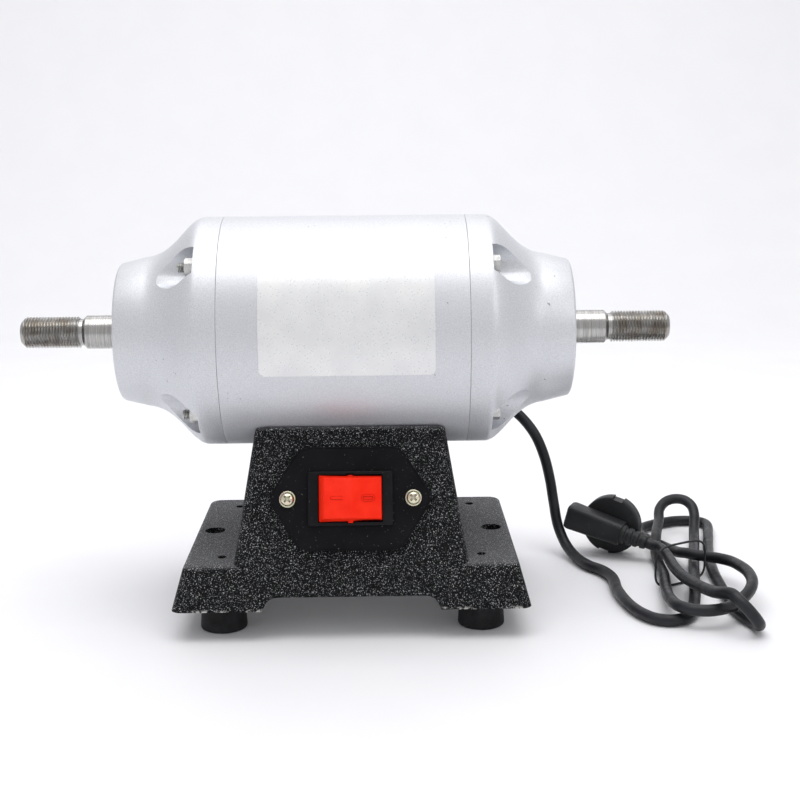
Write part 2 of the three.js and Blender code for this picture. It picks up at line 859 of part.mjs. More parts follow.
const footPlaces = [
  ["front_left", -1, -1],
  ["front_right", 1, -1],
  ["back_right", 1, 1],
  ["back_left", -1, 1],
].map(([name, sideX, sideY]) => [name, (sideX * footSpacingX) / 2, (sideY * footSpacingY) / 2]);

// The two bolt-down holes through the flange, right and left of the pedestal
const stationPlaces = [-stationHoleSpacing / 2, stationHoleSpacing / 2];

const uprightRod = (x, y, from, to, radius) =>
  rod(from, to, radius, smallFacets, placed(x, y, 0).multiply(alongZ));

// The switch assembly's place: its Z points out of the sloping front, its Y up the slope
const faceLean = radians(faceTilt);
const switchPlace = new THREE.Matrix4()
  .makeRotationX(Math.PI / 2 - faceLean)
  .setPosition(
    0,
    -skirtDepth / 2 + plateMiddle * Math.sin(faceLean),
    skirtBottom + plateMiddle * Math.cos(faceLean),
  );

// The strain relief's place: its Z points out of the sloping back
const reliefPlace = new THREE.Matrix4()
  .makeRotationX(faceLean - Math.PI / 2)
  .setPosition(
    reliefAcross,
    skirtDepth / 2 - reliefUp * Math.sin(faceLean),
    skirtBottom + reliefUp * Math.cos(faceLean),
  );

function baseCasting() {
  const skirt = taperedBlock(skirtWidthAt, skirtBottom, flangeTop, 0, edgeRound);
  const pedestal = taperedBlock(pedestalWidthAt, bossBottom, pedestalTop, 0, edgeRound);
  const skirtCeiling = flangeTop - baseWall;
  const skirtHollow = taperedBlock(skirtWidthAt, skirtBottom - overrun, skirtCeiling, baseWall, 0);
  const axis = placed(0, 0, axisHeight).multiply(alongX);
  const saddleWall = rod(-skirtWidth, skirtWidth, saddleRadius + baseWall, housingFacets, axis);
  const pedestalHollow = taperedBlock(pedestalWidthAt, bossBottom, pedestalTop + overrun, baseWall, 0);
  const bosses = footPlaces.map(([, x, y]) =>
    uprightRod(x, y, bossBottom, flangeTop - baseWall / 2, bossDiameter / 2),
  );
  const shell = joined([
    cut(skirt.add(pedestal), [skirtHollow, cut(pedestalHollow, [saddleWall])]),
    ...bosses,
  ]);
  const archHalf = archWidth / 2;
  const arch = new THREE.Shape([
    new THREE.Vector2(-archHalf - archSplay, skirtBottom - overrun),
    new THREE.Vector2(archHalf + archSplay, skirtBottom - overrun),
    new THREE.Vector2(archHalf, skirtBottom + archHeight),
    new THREE.Vector2(-archHalf, skirtBottom + archHeight),
  ]);
  const standing = new THREE.Matrix4().makeRotationX(Math.PI / 2);
  const archCut = extruded(arch, 2 * skirtDepth, placed(0, skirtDepth, 0).multiply(standing));
  const screwHoles = footPlaces.map(([, x, y]) =>
    uprightRod(x, y, skirtBottom, flangeTop + overrun, footScrewDiameter / 2 + gap),
  );
  const stationHoles = stationPlaces.map((x) =>
    uprightRod(x, 0, skirtBottom, flangeTop + overrun, stationHoleDiameter / 2),
  );
  const window = block(switchBodyWidth + 2 * gap, switchBodyHeight + 2 * gap, 4 * baseWall, switchPlace);
  const plateHoles = [-1, 1].map((side) =>
    rod(
      -3 * baseWall,
      overrun,
      plateScrewDiameter / 2 + gap,
      smallFacets,
      switchPlace.clone().multiply(placed((side * plateScrewSpacing) / 2, 0, 0)).multiply(alongZ),
    ),
  );
  const reliefHole = rod(
    -3 * baseWall,
    overrun,
    reliefRootDiameter / 2 + gap,
    smallFacets,
    reliefPlace.clone().multiply(alongZ),
  );
  const saddle = rod(-skirtWidth, skirtWidth, saddleRadius, housingFacets, axis);
  const leadAndScrewHoles = motorHoles.map((hole) => hole.translate([-baseShift, 0, axisHeight]));
  return cut(shell, [
    archCut,
    saddle,
    window,
    reliefHole,
    ...screwHoles,
    ...stationHoles,
    ...plateHoles,
    ...leadAndScrewHoles,
  ]);
}

function bottomCover() {
  const width = skirtWidthAt(coverTop) - 2 * (baseWall + gap);
  const depth = depthAt(coverTop) - 2 * (baseWall + gap);
  const plate = hull([
    ...roundedRectangle(width, depth, planCorner, coverBottom),
    ...roundedRectangle(width, depth, planCorner, coverTop),
  ]);
  const holes = footPlaces.map(([, x, y]) =>
    uprightRod(x, y, coverBottom - overrun, coverTop + overrun, footScrewDiameter / 2 + gap),
  );
  const clampHole = uprightRod(
    capacitorAcross,
    capacitorBack - clampReach,
    coverBottom - overrun,
    coverTop + overrun,
    clampScrewDiameter / 2 + gap,
  );
  const stationHoles = stationPlaces.map((x) =>
    uprightRod(x, 0, coverBottom - overrun, coverTop + overrun, stationHoleDiameter / 2),
  );
  return cut(plate, [...holes, ...stationHoles, clampHole]);
}

function foot() {
  const profile = [
    [0, footCounterbore / 2],
    [0, footDiameter / 2 - footRound],
    [footRound, footDiameter / 2],
    [footLength, footTopDiameter / 2],
    [footLength, footScrewDiameter / 2 + gap],
    [footCounterboreDepth, footScrewDiameter / 2 + gap],
    [footCounterboreDepth, footCounterbore / 2],
  ];
  return turned(profile, footFacets, alongZ);
}

// Stands on the counterbore's floor, head down
function footScrew() {
  const seat = footCounterboreDepth - gap;
  const length = flangeTop - footScrewRecess - seat;
  const screw = roundHeadScrew(footScrewHeadDiameter, footScrewHeadHeight, footScrewDiameter, length);
  return screw.rotate([180, 0, 0]).translate([0, 0, seat]);
}

// Comes up through the saddle, head down
function motorScrew() {
  const seat = saddleRadius + baseWall + gap;
  const length = seat - shellRadius - gap;
  const screw = roundHeadScrew(motorScrewHeadDiameter, motorScrewHeadHeight, motorScrewDiameter, length);
  return screw.rotate([180, 0, 0]).translate([0, 0, -seat]);
}

function leadGrommet() {
  const outer = leadHoleDiameter / 2 - gap;
  const inner = outer - grommetWall;
  const lipTop = -(saddleRadius + baseWall + gap);
  const lipBottom = lipTop - grommetLip;
  const bush = ring(lipBottom, -(shellRadius + gap), outer, inner, smallFacets, alongZ);
  const lip = ring(lipBottom, lipTop, grommetDiameter / 2, inner, smallFacets, alongZ);
  return bush.add(lip);
}

function motorLead() {
  const top = -(windingOuterDiameter / 2 + gap);
  const bottom = coverTop + 2 * gap + blockHeight - axisHeight;
  return rod(bottom, top, leadDiameter / 2, smallFacets, alongZ);
}

// The hexagon of the switch plate, shrunk all round by an inset
function plateOutline(inset) {
  const tip = plateWidth / 2 - inset;
  const flat = plateFlat / 2 - inset / 2;
  const high = plateHeight / 2 - inset;
  const corners = [
    [tip, 0],
    [flat, high],
    [-flat, high],
    [-tip, 0],
    [-flat, -high],
    [flat, -high],
  ].map(([x, y]) => new THREE.Vector2(x, y));
  return roundedOutline(corners, plateCorner);
}

const plateFace = gap + plateThickness - plateRimHeight;

function switchPlate() {
  const whole = extruded(plateOutline(0), plateThickness, placed(0, 0, gap));
  const field = extruded(plateOutline(plateRimWidth), plateThickness, placed(0, 0, plateFace));
  const window = block(switchBodyWidth + 2 * gap, switchBodyHeight + 2 * gap, 4 * plateThickness);
  const holes = [-1, 1].map((side) =>
    rod(
      -overrun,
      plateThickness + overrun,
      plateScrewDiameter / 2 + gap,
      smallFacets,
      placed((side * plateScrewSpacing) / 2, 0, 0).multiply(alongZ),
    ),
  );
  return cut(whole, [field, window, ...holes]);
}

function cupWasher() {
  const top = plateFace + gap + cupWasherThickness;
  const inner = plateScrewDiameter / 2 + gap;
  return turned(
    [
      [plateFace + gap, inner],
      [plateFace + gap, cupWasherDiameter / 2],
      [top, (cupWasherDiameter + plateScrewHeadDiameter) / 4],
      [top, inner],
    ],
    smallFacets,
    alongZ,
  );
}

function plateScrew() {
  const screw = roundHeadScrew(
    plateScrewHeadDiameter,
    plateScrewHeadHeight,
    plateScrewDiameter,
    plateScrewLength,
    true,
  );
  return screw.translate([0, 0, plateFace + 2 * gap + cupWasherThickness]);
}

const bezelBack = plateFace + gap;
const bezelFace = bezelBack + bezelThickness;
const pivotHeight = bezelFace - pivotDepth;

function switchBody() {
  const corners = (inset) =>
    [
      [1, 1],
      [-1, 1],
      [-1, -1],
      [1, -1],
    ].map(([x, y]) => [x * (bezelWidth / 2 - inset), y * (bezelHeight / 2 - inset)]);
  const level = (inset, z) => corners(inset).map(([x, y]) => new THREE.Vector3(x, y, z));
  const bezel = hull([
    ...level(0, bezelBack),
    ...level(0, bezelFace - bezelChamfer),
    ...level(bezelChamfer, bezelFace),
  ]);
  const bottom = bezelFace - switchBodyDepth;
  const barrel = block(
    switchBodyWidth,
    switchBodyHeight,
    bezelBack + overrun - bottom,
    placed(0, 0, (bezelBack + overrun + bottom) / 2),
  );
  const well = block(
    2 * (rockerEndRadius + rockerClearance),
    rockerHeight + 2 * rockerClearance,
    2 * wellDepth,
    placed(0, 0, bezelFace),
  );
  const pivotSlot = block(
    pivotDiameter + 2 * gap,
    rockerHeight + 2 * (pivotLength + gap),
    2 * (pivotDepth + pivotDiameter / 2 + gap),
    placed(0, 0, bezelFace),
  );
  const blades = [-1, 0, 1].map((side) =>
    block(
      bladeThickness,
      bladeWidth,
      bladeLength + overrun,
      placed(side * bladeSpacing, 0, bottom - (bladeLength - overrun) / 2),
    ),
  );
  return joined([cut(bezel.add(barrel), [well, pivotSlot]), ...blades]);
}

// One half of the rocker, from the middle to an end that is round about the pivot
function rockerHalf(side) {
  const slope = Math.tan(radians(rockerTilt));
  const endAngle = (height) => Math.asin(height / rockerEndRadius);
  let topAngle = endAngle(rockerValley);
  for (let i = 0; i < rockerSolveSteps; i++) {
    topAngle = endAngle(rockerValley + slope * rockerEndRadius * Math.cos(topAngle));
  }
  const bottomAngle = -endAngle(rockerSkirt);
  const outline = [
    [0, rockerValley],
    [0, -rockerSkirt],
  ];
  for (let i = 0; i <= rockerEndSteps; i++) {
    const angle = between(bottomAngle, topAngle, i / rockerEndSteps);
    outline.push([rockerEndRadius * Math.cos(angle), rockerEndRadius * Math.sin(angle)]);
  }
  const points = outline.flatMap(([x, z]) => {
    const draft = z > pivotDepth ? (rockerDraft * (z - pivotDepth)) / rockerValley : 0;
    const reach = rockerHeight / 2 - draft;
    return [new THREE.Vector3(side * x, -reach, z), new THREE.Vector3(side * x, reach, z)];
  });
  return hull(points);
}

// The two half faces meet in a shallow valley; a bar is moulded on one and a ring on the other
function rocker() {
  const pivot = rod(
    -(rockerHeight / 2 + pivotLength),
    rockerHeight / 2 + pivotLength,
    pivotDiameter / 2,
    screwFacets,
    new THREE.Matrix4(),
  );
  const onFace = (side) =>
    new THREE.Matrix4()
      .makeRotationY(-side * radians(rockerTilt))
      .setPosition(
        (side * rockerEndRadius) / 2,
        0,
        rockerValley + (Math.tan(radians(rockerTilt)) * rockerEndRadius) / 2,
      );
  const bar = block(markLength, markWidth, 2 * markHeight, onFace(-1));
  const ringOuter = roundedOutline(markCorners(markLength, ringMarkHeight), ringMarkHeight / 2);
  const ringInner = roundedOutline(
    markCorners(markLength - 2 * ringMarkLine, ringMarkHeight - 2 * ringMarkLine),
    ringMarkHeight / 2 - ringMarkLine,
  );
  const ringPlace = onFace(1).multiply(placed(0, 0, -markHeight));
  const ringMark = cut(extruded(ringOuter, 2 * markHeight, ringPlace), [
    extruded(ringInner, 4 * markHeight, ringPlace.clone().multiply(placed(0, 0, -markHeight))),
  ]);
  return joined([rockerHalf(-1), rockerHalf(1), pivot, bar, ringMark]);
}

function markCorners(width, height) {
  return [
    new THREE.Vector2(width / 2, height / 2),
    new THREE.Vector2(-width / 2, height / 2),
    new THREE.Vector2(-width / 2, -height / 2),
    new THREE.Vector2(width / 2, -height / 2),
  ];
}

// The capacitor lies along X on the bottom cover, under a strap that is screwed down in front of it
function capacitor() {
  const half = capacitorLength / 2;
  const radius = capacitorDiameter / 2;
  return turned(
    [
      [-half, 0],
      [-half, radius - capacitorRound],
      [-half + capacitorRound, radius],
      [half - capacitorRound, radius],
      [half, radius - capacitorRound],
      [half, 0],
    ],
    shaftFacets,
    alongX,
  );
}

function capacitorClamp() {
  const inner = capacitorDiameter / 2 + gap;
  const outer = inner + clampThickness;
  const halfWidth = clampWidth / 2;
  const footTop = coverTop + gap + clampThickness - capacitorHeight;
  const hoop = ring(-halfWidth, halfWidth, outer, inner, shaftFacets);
  const lower = block(2 * clampWidth, 4 * outer, 2 * outer, placed(0, 0, -outer));
  const legHeight = -footTop + 2 * clampThickness;
  const legMiddle = footTop - clampThickness + legHeight / 2;
  const legs = [-1, 1].map((side) =>
    block(clampWidth, clampThickness, legHeight, placed(0, (side * (inner + outer)) / 2, legMiddle)),
  );
  const feet = [-1, 1].map((side) =>
    block(
      clampWidth,
      clampFoot + clampThickness,
      clampThickness,
      placed(0, side * (inner + (clampFoot + clampThickness) / 2), footTop - clampThickness / 2),
    ),
  );
  const hole = uprightRod(0, -clampReach, -2 * outer, 0, clampScrewDiameter / 2 + gap);
  return cut(joined([cut(hoop, [lower]), ...legs, ...feet]), [hole]);
}

function clampScrew() {
  const length = clampThickness + coverThickness + 2 * gap;
  return roundHeadScrew(clampScrewHeadDiameter, clampScrewHeadHeight, clampScrewDiameter, length);
}

function terminalBlock() {
  const body = block(blockWidth, blockDepth, blockHeight);
  const holes = [];
  for (let i = 0; i < wireHoles; i++) {
    const x = (i - (wireHoles - 1) / 2) * wireHoleSpacing;
    holes.push(rod(-blockDepth, blockDepth, wireHoleDiameter / 2, smallFacets, placed(x, 0, 0)));
  }
  return cut(body, holes);
}

// A tapering sleeve with grooves round it, from one place to another on its axis
function groovedSleeve(from, to, rootRadius, tipRadius, grooves, grooveDepth) {
  const profile = [
    [from, 0],
    [from, rootRadius],
  ];
  const pitch = (to - from) / (grooves + 1);
  const radiusAt = (along) => between(rootRadius, tipRadius, (along - from) / (to - from));
  for (let i = 1; i <= grooves; i++) {
    const near = from + pitch * (i - grooveWidthShare / 2);
    const far = from + pitch * (i + grooveWidthShare / 2);
    profile.push([near, radiusAt(near)]);
    profile.push([near, radiusAt(near) - grooveDepth]);
    profile.push([far, radiusAt(far) - grooveDepth]);
    profile.push([far, radiusAt(far)]);
  }
  profile.push([to, tipRadius], [to, 0]);
  return profile;
}

const reliefTip = gap + reliefFlangeThickness + reliefLength;

function strainRelief() {
  const sleeve = turned(
    groovedSleeve(
      gap + reliefFlangeThickness - fit,
      reliefTip,
      reliefRootDiameter / 2,
      reliefTipDiameter / 2,
      reliefGrooves,
      reliefGrooveDepth,
    ),
    smallFacets,
    alongZ,
  );
  const flange = rod(gap, gap + reliefFlangeThickness, reliefFlangeDiameter / 2, smallFacets, alongZ);
  const neck = rod(-baseWall - reliefInner, gap + fit, reliefRootDiameter / 2, smallFacets, alongZ);
  return joined([sleeve, flange, neck]);
}

// A loose loop that stands across the strands
class TieLoop extends THREE.Curve {
  getPoint(t, target = new THREE.Vector3()) {
    const angle = 2 * Math.PI * t;
    const bulge = (value) => Math.sign(value) * Math.abs(value) ** tieBulgeShare;
    return target.set(
      (tieWidth / 2) * bulge(Math.cos(angle)),
      0,
      (tieHeight / 2) * bulge(Math.sin(angle)),
    );
  }
}

function cordTie() {
  const place = placed(tieAcross, tieBack, tieRaise).multiply(
    new THREE.Matrix4().makeRotationZ(radians(tieTurn)),
  );
  const wire = new THREE.TubeGeometry(new TieLoop(), tieSteps, tieDiameter / 2, tieSides, true);
  return solid(wire, place);
}

// The lead follows one smooth curve, split where the free stretch goes over into the hank
const routePoints = [...freeRoute, ...hankRoute].map((point) => new THREE.Vector3(...point));
const wholeRoute = new THREE.CatmullRomCurve3(routePoints);
const splitPlace = freeRoute.length - 1;
const splitSpacing = routePoints[splitPlace].distanceTo(routePoints[splitPlace + 1]);

class Stretch extends THREE.Curve {
  constructor(from, to) {
    super();
    this.from = from;
    this.to = to;
  }
  getPoint(t, target = new THREE.Vector3()) {
    const place = between(this.from, this.to, t) / (routePoints.length - 1);
    return wholeRoute.getPoint(place, target);
  }
}

function tube(path, sides, step) {
  const section = new THREE.Shape();
  for (let i = 0; i < sides; i++) {
    const angle = (2 * Math.PI * i) / sides;
    const x = (cordDiameter / 2) * Math.cos(angle);
    const y = (cordDiameter / 2) * Math.sin(angle);
    if (i === 0) section.moveTo(x, y);
    else section.lineTo(x, y);
  }
  section.closePath();
  const steps = Math.ceil(path.getLength() / step);
  return solid(new THREE.ExtrudeGeometry(section, { steps, extrudePath: path }));
}

const freeStretch = () => tube(new Stretch(0, splitPlace), cordSides, cordStep);

function hankStretch() {
  const path = new Stretch(splitPlace + gap / splitSpacing, routePoints.length - 1);
  console.log("least gap of the hank to itself, mm:", leastGap(path).toFixed(2));
  return tube(path, hankSides, hankStep);
}

// The least gap between two places of a tube that are more than a half turn of a fold apart
function leastGap(path) {
  const samples = path.getSpacedPoints(Math.ceil(path.getLength() / gapSampleStep));
  const apart = Math.ceil((gapSkipTurns * Math.PI * cordDiameter) / gapSampleStep);
  let least = Infinity;
  for (let i = 0; i < samples.length; i++) {
    for (let j = i + apart; j < samples.length; j++) {
      least = Math.min(least, samples[i].distanceTo(samples[j]));
    }
  }
  return least - cordDiameter;
}

// The plug's own frame: X along the grip to its relief, Y along the pins, Z across the grip
const plugMiddle = (plugDiscThickness + plugGripDepth) / 2;

function plugBody() {
  const half = plugDiscThickness / 2;
  const radius = plugDiscDiameter / 2;
  const disc = turned(
    [
      [-half, 0],
      [-half, radius - plugDiscRound],
      [-half + plugDiscRound, radius],
      [half - plugDiscRound, radius],
      [half, radius - plugDiscRound],
      [half, 0],
    ],
    shaftFacets,
    new THREE.Matrix4(),
  );
  const notches = [-1, 1].map((side) =>
    block(plugNotchWidth, 2 * plugDiscThickness, 2 * plugNotchDepth, placed(0, 0, side * radius)),
  );
  const end = (x, width) => {
    const section = roundedRectangle(width, plugGripDepth, plugGripRound, 0);
    return section.map((point) => new THREE.Vector3(x, point.y, point.x));
  };
  const grip = hull([
    ...end(-plugGripBack, plugGripWidth - plugGripRound),
    ...end(-plugGripBack + plugGripRound, plugGripWidth),
    ...end(plugGripFront, plugGripEndWidth),
  ]);
  const foot = block(
    plugGripBack + plugGripFront - 2 * plugGripRound,
    plugGripDepth,
    plugGripEndWidth,
    placed((plugGripFront - plugGripBack) / 2, plugMiddle - half, 0),
  );
  const sleeve = turned(
    groovedSleeve(
      plugGripFront - overrun,
      plugGripFront + plugReliefLength,
      plugReliefRoot / 2,
      plugReliefTip / 2,
      plugReliefGrooves,
      plugGrooveDepth,
    ),
    smallFacets,
    alongX,
  );
  const gripAndSleeve = joined([grip, sleeve]).translate([0, -plugMiddle, 0]);
  const webLimit = rod(-plugMiddle, half, radius, shaftFacets, new THREE.Matrix4());
  const web = foot.translate([0, -plugMiddle, 0]).intersect(webLimit);
  const sockets = [-1, 1].map((side) =>
    pinRod(side, half - pinSocket, half + overrun, pinDiameter / 2 + gap),
  );
  return cut(joined([cut(disc, notches), gripAndSleeve, web]), sockets);
}

const pinRod = (side, from, to, radius) =>
  rod(from, to, radius, screwFacets, placed((side * pinSpacing) / 2, 0, 0));

function plugPin(side) {
  const start = plugDiscThickness / 2 - pinSocket + gap;
  const tip = plugDiscThickness / 2 + pinLength;
  const profile = [
    [start, 0],
    [start, pinDiameter / 2],
    [tip - pinRound, pinDiameter / 2],
    [tip, pinDiameter / 2 - pinRound],
    [tip, 0],
  ];
  return turned(profile, screwFacets, placed((side * pinSpacing) / 2, 0, 0));
}

const sides = [
  ["left", -1],
  ["right", 1],
];

function motorGroup() {
  const motor = new THREE.Group();
  motor.position.z = axisHeight;
  motor.add(
    piece("motor_shell", motorShell(), silverPaint),
    piece("stator_core", statorCore(), coreSteel),
    piece("rotor_core", rotorCore(), castAluminium),
    piece("shaft", motorShaft(), brightSteel),
    piece("wave_washer", waveWasher(), zinc),
    piece("shim_ring", shimRing(), zinc),
    piece("label_plate", labelPlate(), labelFoil),
  );
  for (const [name, side] of sides) {
    motor.add(
      piece(`end_bell_${name}`, endBell(side), silverPaint),
      piece(`winding_${name}`, endWinding(side), copperWire),
      piece(`bearing_outer_${name}`, bearingOuter(side), brightSteel),
      piece(`bearing_inner_${name}`, bearingInner(side), brightSteel),
      piece(`bearing_balls_${name}`, bearingBalls(side), brightSteel),
      piece(`dust_cap_${name}`, dustCap(side), zinc),
    );
  }
  for (const [name, y, z] of boltPlaces) {
    const bolt = piece(`through_bolt_${name}`, throughBolt(), zinc);
    const nut = piece(`bolt_nut_${name}`, boltNut(), zinc);
    bolt.position.set(0, y, z);
    nut.position.set(0, y, z);
    motor.add(bolt, nut);
  }
  motorScrewPlaces.forEach((x, i) => {
    const screw = piece(`motor_screw_${sides[i][0]}`, motorScrew(), zinc);
    screw.position.x = x;
    motor.add(screw);
  });
  const grommet = piece("lead_grommet", leadGrommet(), blackRubber);
  const lead = piece("motor_lead", motorLead(), cordSheath);
  grommet.position.x = -leadReach;
  lead.position.x = -leadReach;
  motor.add(grommet, lead);
  return motor;
}

function switchGroup() {
  const group = new THREE.Group();
  group.applyMatrix4(switchPlace);
  group.add(
    piece("switch_plate", switchPlate(), blackPaint),
    piece("switch_body", switchBody(), blackPlastic),
  );
  for (const [name, side] of sides) {
    const washer = piece(`cup_washer_${name}`, cupWasher(), yellowZinc);
    const screw = piece(`plate_screw_${name}`, plateScrew(), yellowZinc);
    washer.position.x = (side * plateScrewSpacing) / 2;
    screw.position.x = (side * plateScrewSpacing) / 2;
    group.add(washer, screw);
  }
  const button = piece("rocker", rocker(), redPlastic);
  button.position.z = pivotHeight;
  button.rotation.y = radians(rockerTilt);
  group.add(button);
  return group;
}

function baseGroup() {
  const base = new THREE.Group();
  base.position.x = baseShift;
  base.add(
    piece("base_casting", baseCasting(), blackPaint),
    piece("bottom_cover", bottomCover(), zinc),
    switchGroup(),
  );
  for (const [name, x, y] of footPlaces) {
    const rubber = piece(`foot_${name}`, foot(), blackRubber);
    const screw = piece(`foot_screw_${name}`, footScrew(), zinc);
    rubber.position.set(x, y, 0);
    screw.position.set(x, y, 0);
    base.add(rubber, screw);
  }
  const can = piece("capacitor", capacitor(), castAluminium);
  const clamp = piece("capacitor_clamp", capacitorClamp(), zinc);
  const screw = piece("clamp_screw", clampScrew(), zinc);
  can.position.set(capacitorAcross, capacitorBack, capacitorHeight);
  clamp.position.copy(can.position);
  screw.position.set(capacitorAcross, capacitorBack - clampReach, coverTop + 2 * gap + clampThickness);
  const terminals = piece("terminal_block", terminalBlock(), whitePlastic);
  terminals.position.set(-leadPlace, 0, coverTop + gap + blockHeight / 2);
  const relief = piece("cord_relief", strainRelief(), blackRubber);
  relief.applyMatrix4(reliefPlace);
  base.add(can, clamp, screw, terminals, relief);
  return base;
}

function plugGroup() {
  const plug = new THREE.Group();
  const turn = radians(plugTurn);
  const tilt = radians(plugGripTilt);
  const along = new THREE.Vector3(
    Math.cos(tilt) * Math.cos(turn),
    -Math.cos(tilt) * Math.sin(turn),
    -Math.sin(tilt),
  );
  const away = new THREE.Vector3(Math.sin(turn), Math.cos(turn), 0);
  const leadEnd = routePoints[routePoints.length - 1];
  const middle = leadEnd
    .clone()
    .addScaledVector(along, -(plugGripFront + plugReliefLength + gap))
    .addScaledVector(away, plugMiddle);
  plug.applyMatrix4(new THREE.Matrix4().makeRotationY(tilt));
  plug.applyMatrix4(new THREE.Matrix4().makeRotationZ(-turn));
  plug.position.copy(middle);
  plug.add(piece("plug_body", plugBody(), blackPlastic));
  for (const [name, side] of sides) plug.add(piece(`plug_pin_${name}`, plugPin(side), brass));
  return plug;
}

const lathe = new THREE.Group();
lathe.add(
  motorGroup(),
  baseGroup(),
  plugGroup(),
  piece("cord_free", freeStretch(), cordSheath),
  piece("cord_hank", hankStretch(), cordSheath),
  piece("cord_tie", cordTie(), blackPlastic),
);

export default lathe;
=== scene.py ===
"""Looks of the double-ended polishing lathe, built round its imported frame.

Sizes are named values in millimetres in the frame's own axes, and become metres where a mesh is made.
"""

import math

import bpy
from mathutils import Matrix, Vector


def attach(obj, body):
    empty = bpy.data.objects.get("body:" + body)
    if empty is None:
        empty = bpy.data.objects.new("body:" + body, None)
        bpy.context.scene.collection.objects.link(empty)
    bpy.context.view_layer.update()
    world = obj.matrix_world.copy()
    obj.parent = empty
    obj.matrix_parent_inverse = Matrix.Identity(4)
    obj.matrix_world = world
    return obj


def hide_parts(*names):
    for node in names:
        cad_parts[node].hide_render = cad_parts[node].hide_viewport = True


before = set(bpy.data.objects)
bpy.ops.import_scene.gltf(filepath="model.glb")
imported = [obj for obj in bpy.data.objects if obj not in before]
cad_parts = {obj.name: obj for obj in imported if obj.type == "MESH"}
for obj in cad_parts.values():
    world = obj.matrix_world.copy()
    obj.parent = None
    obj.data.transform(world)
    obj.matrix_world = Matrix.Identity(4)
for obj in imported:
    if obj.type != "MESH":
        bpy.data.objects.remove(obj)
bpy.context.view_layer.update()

MM = 0.001
SIDES = (("left", -1), ("right", 1))

# Motor housing
AXIS_HEIGHT = 142.2
BODY_RADIUS = 57.9
SHELL_WALL = 3.5
SEAM = 60.4  # from the middle of the shaft to the joint between shell and bell
SEAM_OPEN = 0.1
SEAM_GAP = 0.3
SEAM_ROUND = 0.25
SHOULDER_LAND = 9.5
SHOULDER_REACH = 9
FLARE_LENGTH = 30.5
FLARE_REACH = 16
FLARE_RISE = 1.8
HUB_RADIUS = 38
HUB_LENGTH = 13.2
HUB_FACE = SEAM + SHOULDER_LAND + FLARE_LENGTH + HUB_LENGTH
RIM_RADIUS = 34.8
RIM_ROUND = 1.4
CAP_RADIUS = 18
CAP_THICKNESS = 2.2
CAP_RECESS = 2.8
CAP_BORE = 9.1
CAP_ROUND = 0.4
LIP_RADIUS = 17.2
BELL_WALL = 4.3
SPIGOT_LENGTH = 5
SPIGOT_RADIUS = 54.1
CHAMBER_RADIUS = 37
CHAMBER_START = 67
CHAMBER_END = 79
NECK_RADIUS = 27
SEAT_RADIUS = 20.1
SEAT_FROM = 94.82
SEAT_TO = 108.22

# Bolts through the motor
BOLT_CIRCLE = 51
BOLT_ANGLES = (("front_top", 135), ("back_top", 45), ("back_bottom", -45), ("front_bottom", -135))
POCKET_RADIUS = 10
POCKET_SEAT = 72
BOLT_RADIUS = 2.5
BOLT_PITCH = 0.8
BOLT_THREAD = 14
NUT_WIDTH = 8
NUT_HEIGHT = 4.2
HEAD_HEIGHT = 3.6
BOLT_TIP = 3.5
HEX_CROWN = 3.85  # radius of a hexagon's flat top
HEX_SLOPE = 0.58

# Shaft
SHAFT_END = 165.35
SHAFT_RADIUS = 8.5
ROTOR_SHAFT_RADIUS = 10
ROTOR_SHAFT_END = 94.52
THREAD_RADIUS = 8
THREAD_PITCH = 1.5
THREAD_LENGTH = 29.5
THREAD_DEPTH = 0.92
RELIEF_RADIUS = 6.8
RELIEF_LENGTH = 2
TIP_CHAMFER = 2.4
THREAD_FLAT_SHARE = 0.12

# Label plate
LABEL_WIDTH = 84
LABEL_SHIFT = 1.5
LABEL_THICKNESS = 0.3
LABEL_ANGLES = (-14, 42)
LABEL_CORNER = 3

# Base casting
BASE_SHIFT = 2
SKIRT_WIDTH = 174.6
SKIRT_DEPTH = 138
SKIRT_BOTTOM = 15.2
FLANGE_WIDTH = 163.2
FLANGE_TOP = 36
FACE_TILT = 17.4
PEDESTAL_FOOT = 114.4
PEDESTAL_HEAD = 92.8
PEDESTAL_TOP = 100
PEDESTAL_BOTTOM = 24.1
BASE_WALL = 5
PLAN_CORNER = 5
EDGE_ROUND = 2
ARCH_WIDTH = 80
ARCH_HEIGHT = 6.4
ARCH_SPLAY = 4
SADDLE_RADIUS = 58.2
STATION_PLACE = 72.7
STATION_RADIUS = 5.3
FOOT_PLACE = (64.1, 46.4)
FOOT_HOLE_RADIUS = 2.3
BOSS_RADIUS = 6.5
SCREW_PLACE = 26
MOTOR_SCREW_HOLE = 3.3
LEAD_PLACE = -39.5
LEAD_HOLE = 3.8

# Feet
FOOT_RADIUS = 11.65
FOOT_TOP_RADIUS = 10.3
FOOT_LENGTH = 22
FOOT_ROUND = 1.6
FOOT_BORE = 5.5
FOOT_BORE_DEPTH = 9

# Switch plate, its screws and the rocker switch
PLATE_UP = 53.967
PLATE_WIDTH = 80.8
PLATE_HEIGHT = 50.4
PLATE_FLAT = 49
PLATE_BACK = 0.3
PLATE_FRONT = 2.7
PLATE_CORNER = 5
RIM_WIDTH = 0.9
RIM_HEIGHT = 0.4
RIM_EDGE = 0.3
PLATE_SCREW_PLACE = 30.5
PLATE_SCREW_HOLE = 2.05
CUP_RADIUS = 4.35
CUP_THICKNESS = 0.8
SCREW_HEAD_RADIUS = 3.3
SCREW_HEAD_HEIGHT = 2
SCREW_RADIUS = 1.75
SCREW_LENGTH = 12
CROSS_LENGTH = 4.1
CROSS_WIDTH = 0.95
CROSS_DEPTH = 1.6
BEZEL_WIDTH = 41.2
BEZEL_HEIGHT = 26.4
BEZEL_BACK = 2.6
BEZEL_FACE = 4.9
BEZEL_CORNER = 0.8
BEZEL_EDGE = 0.6
BARREL_WIDTH = 36.5
BARREL_HEIGHT = 25
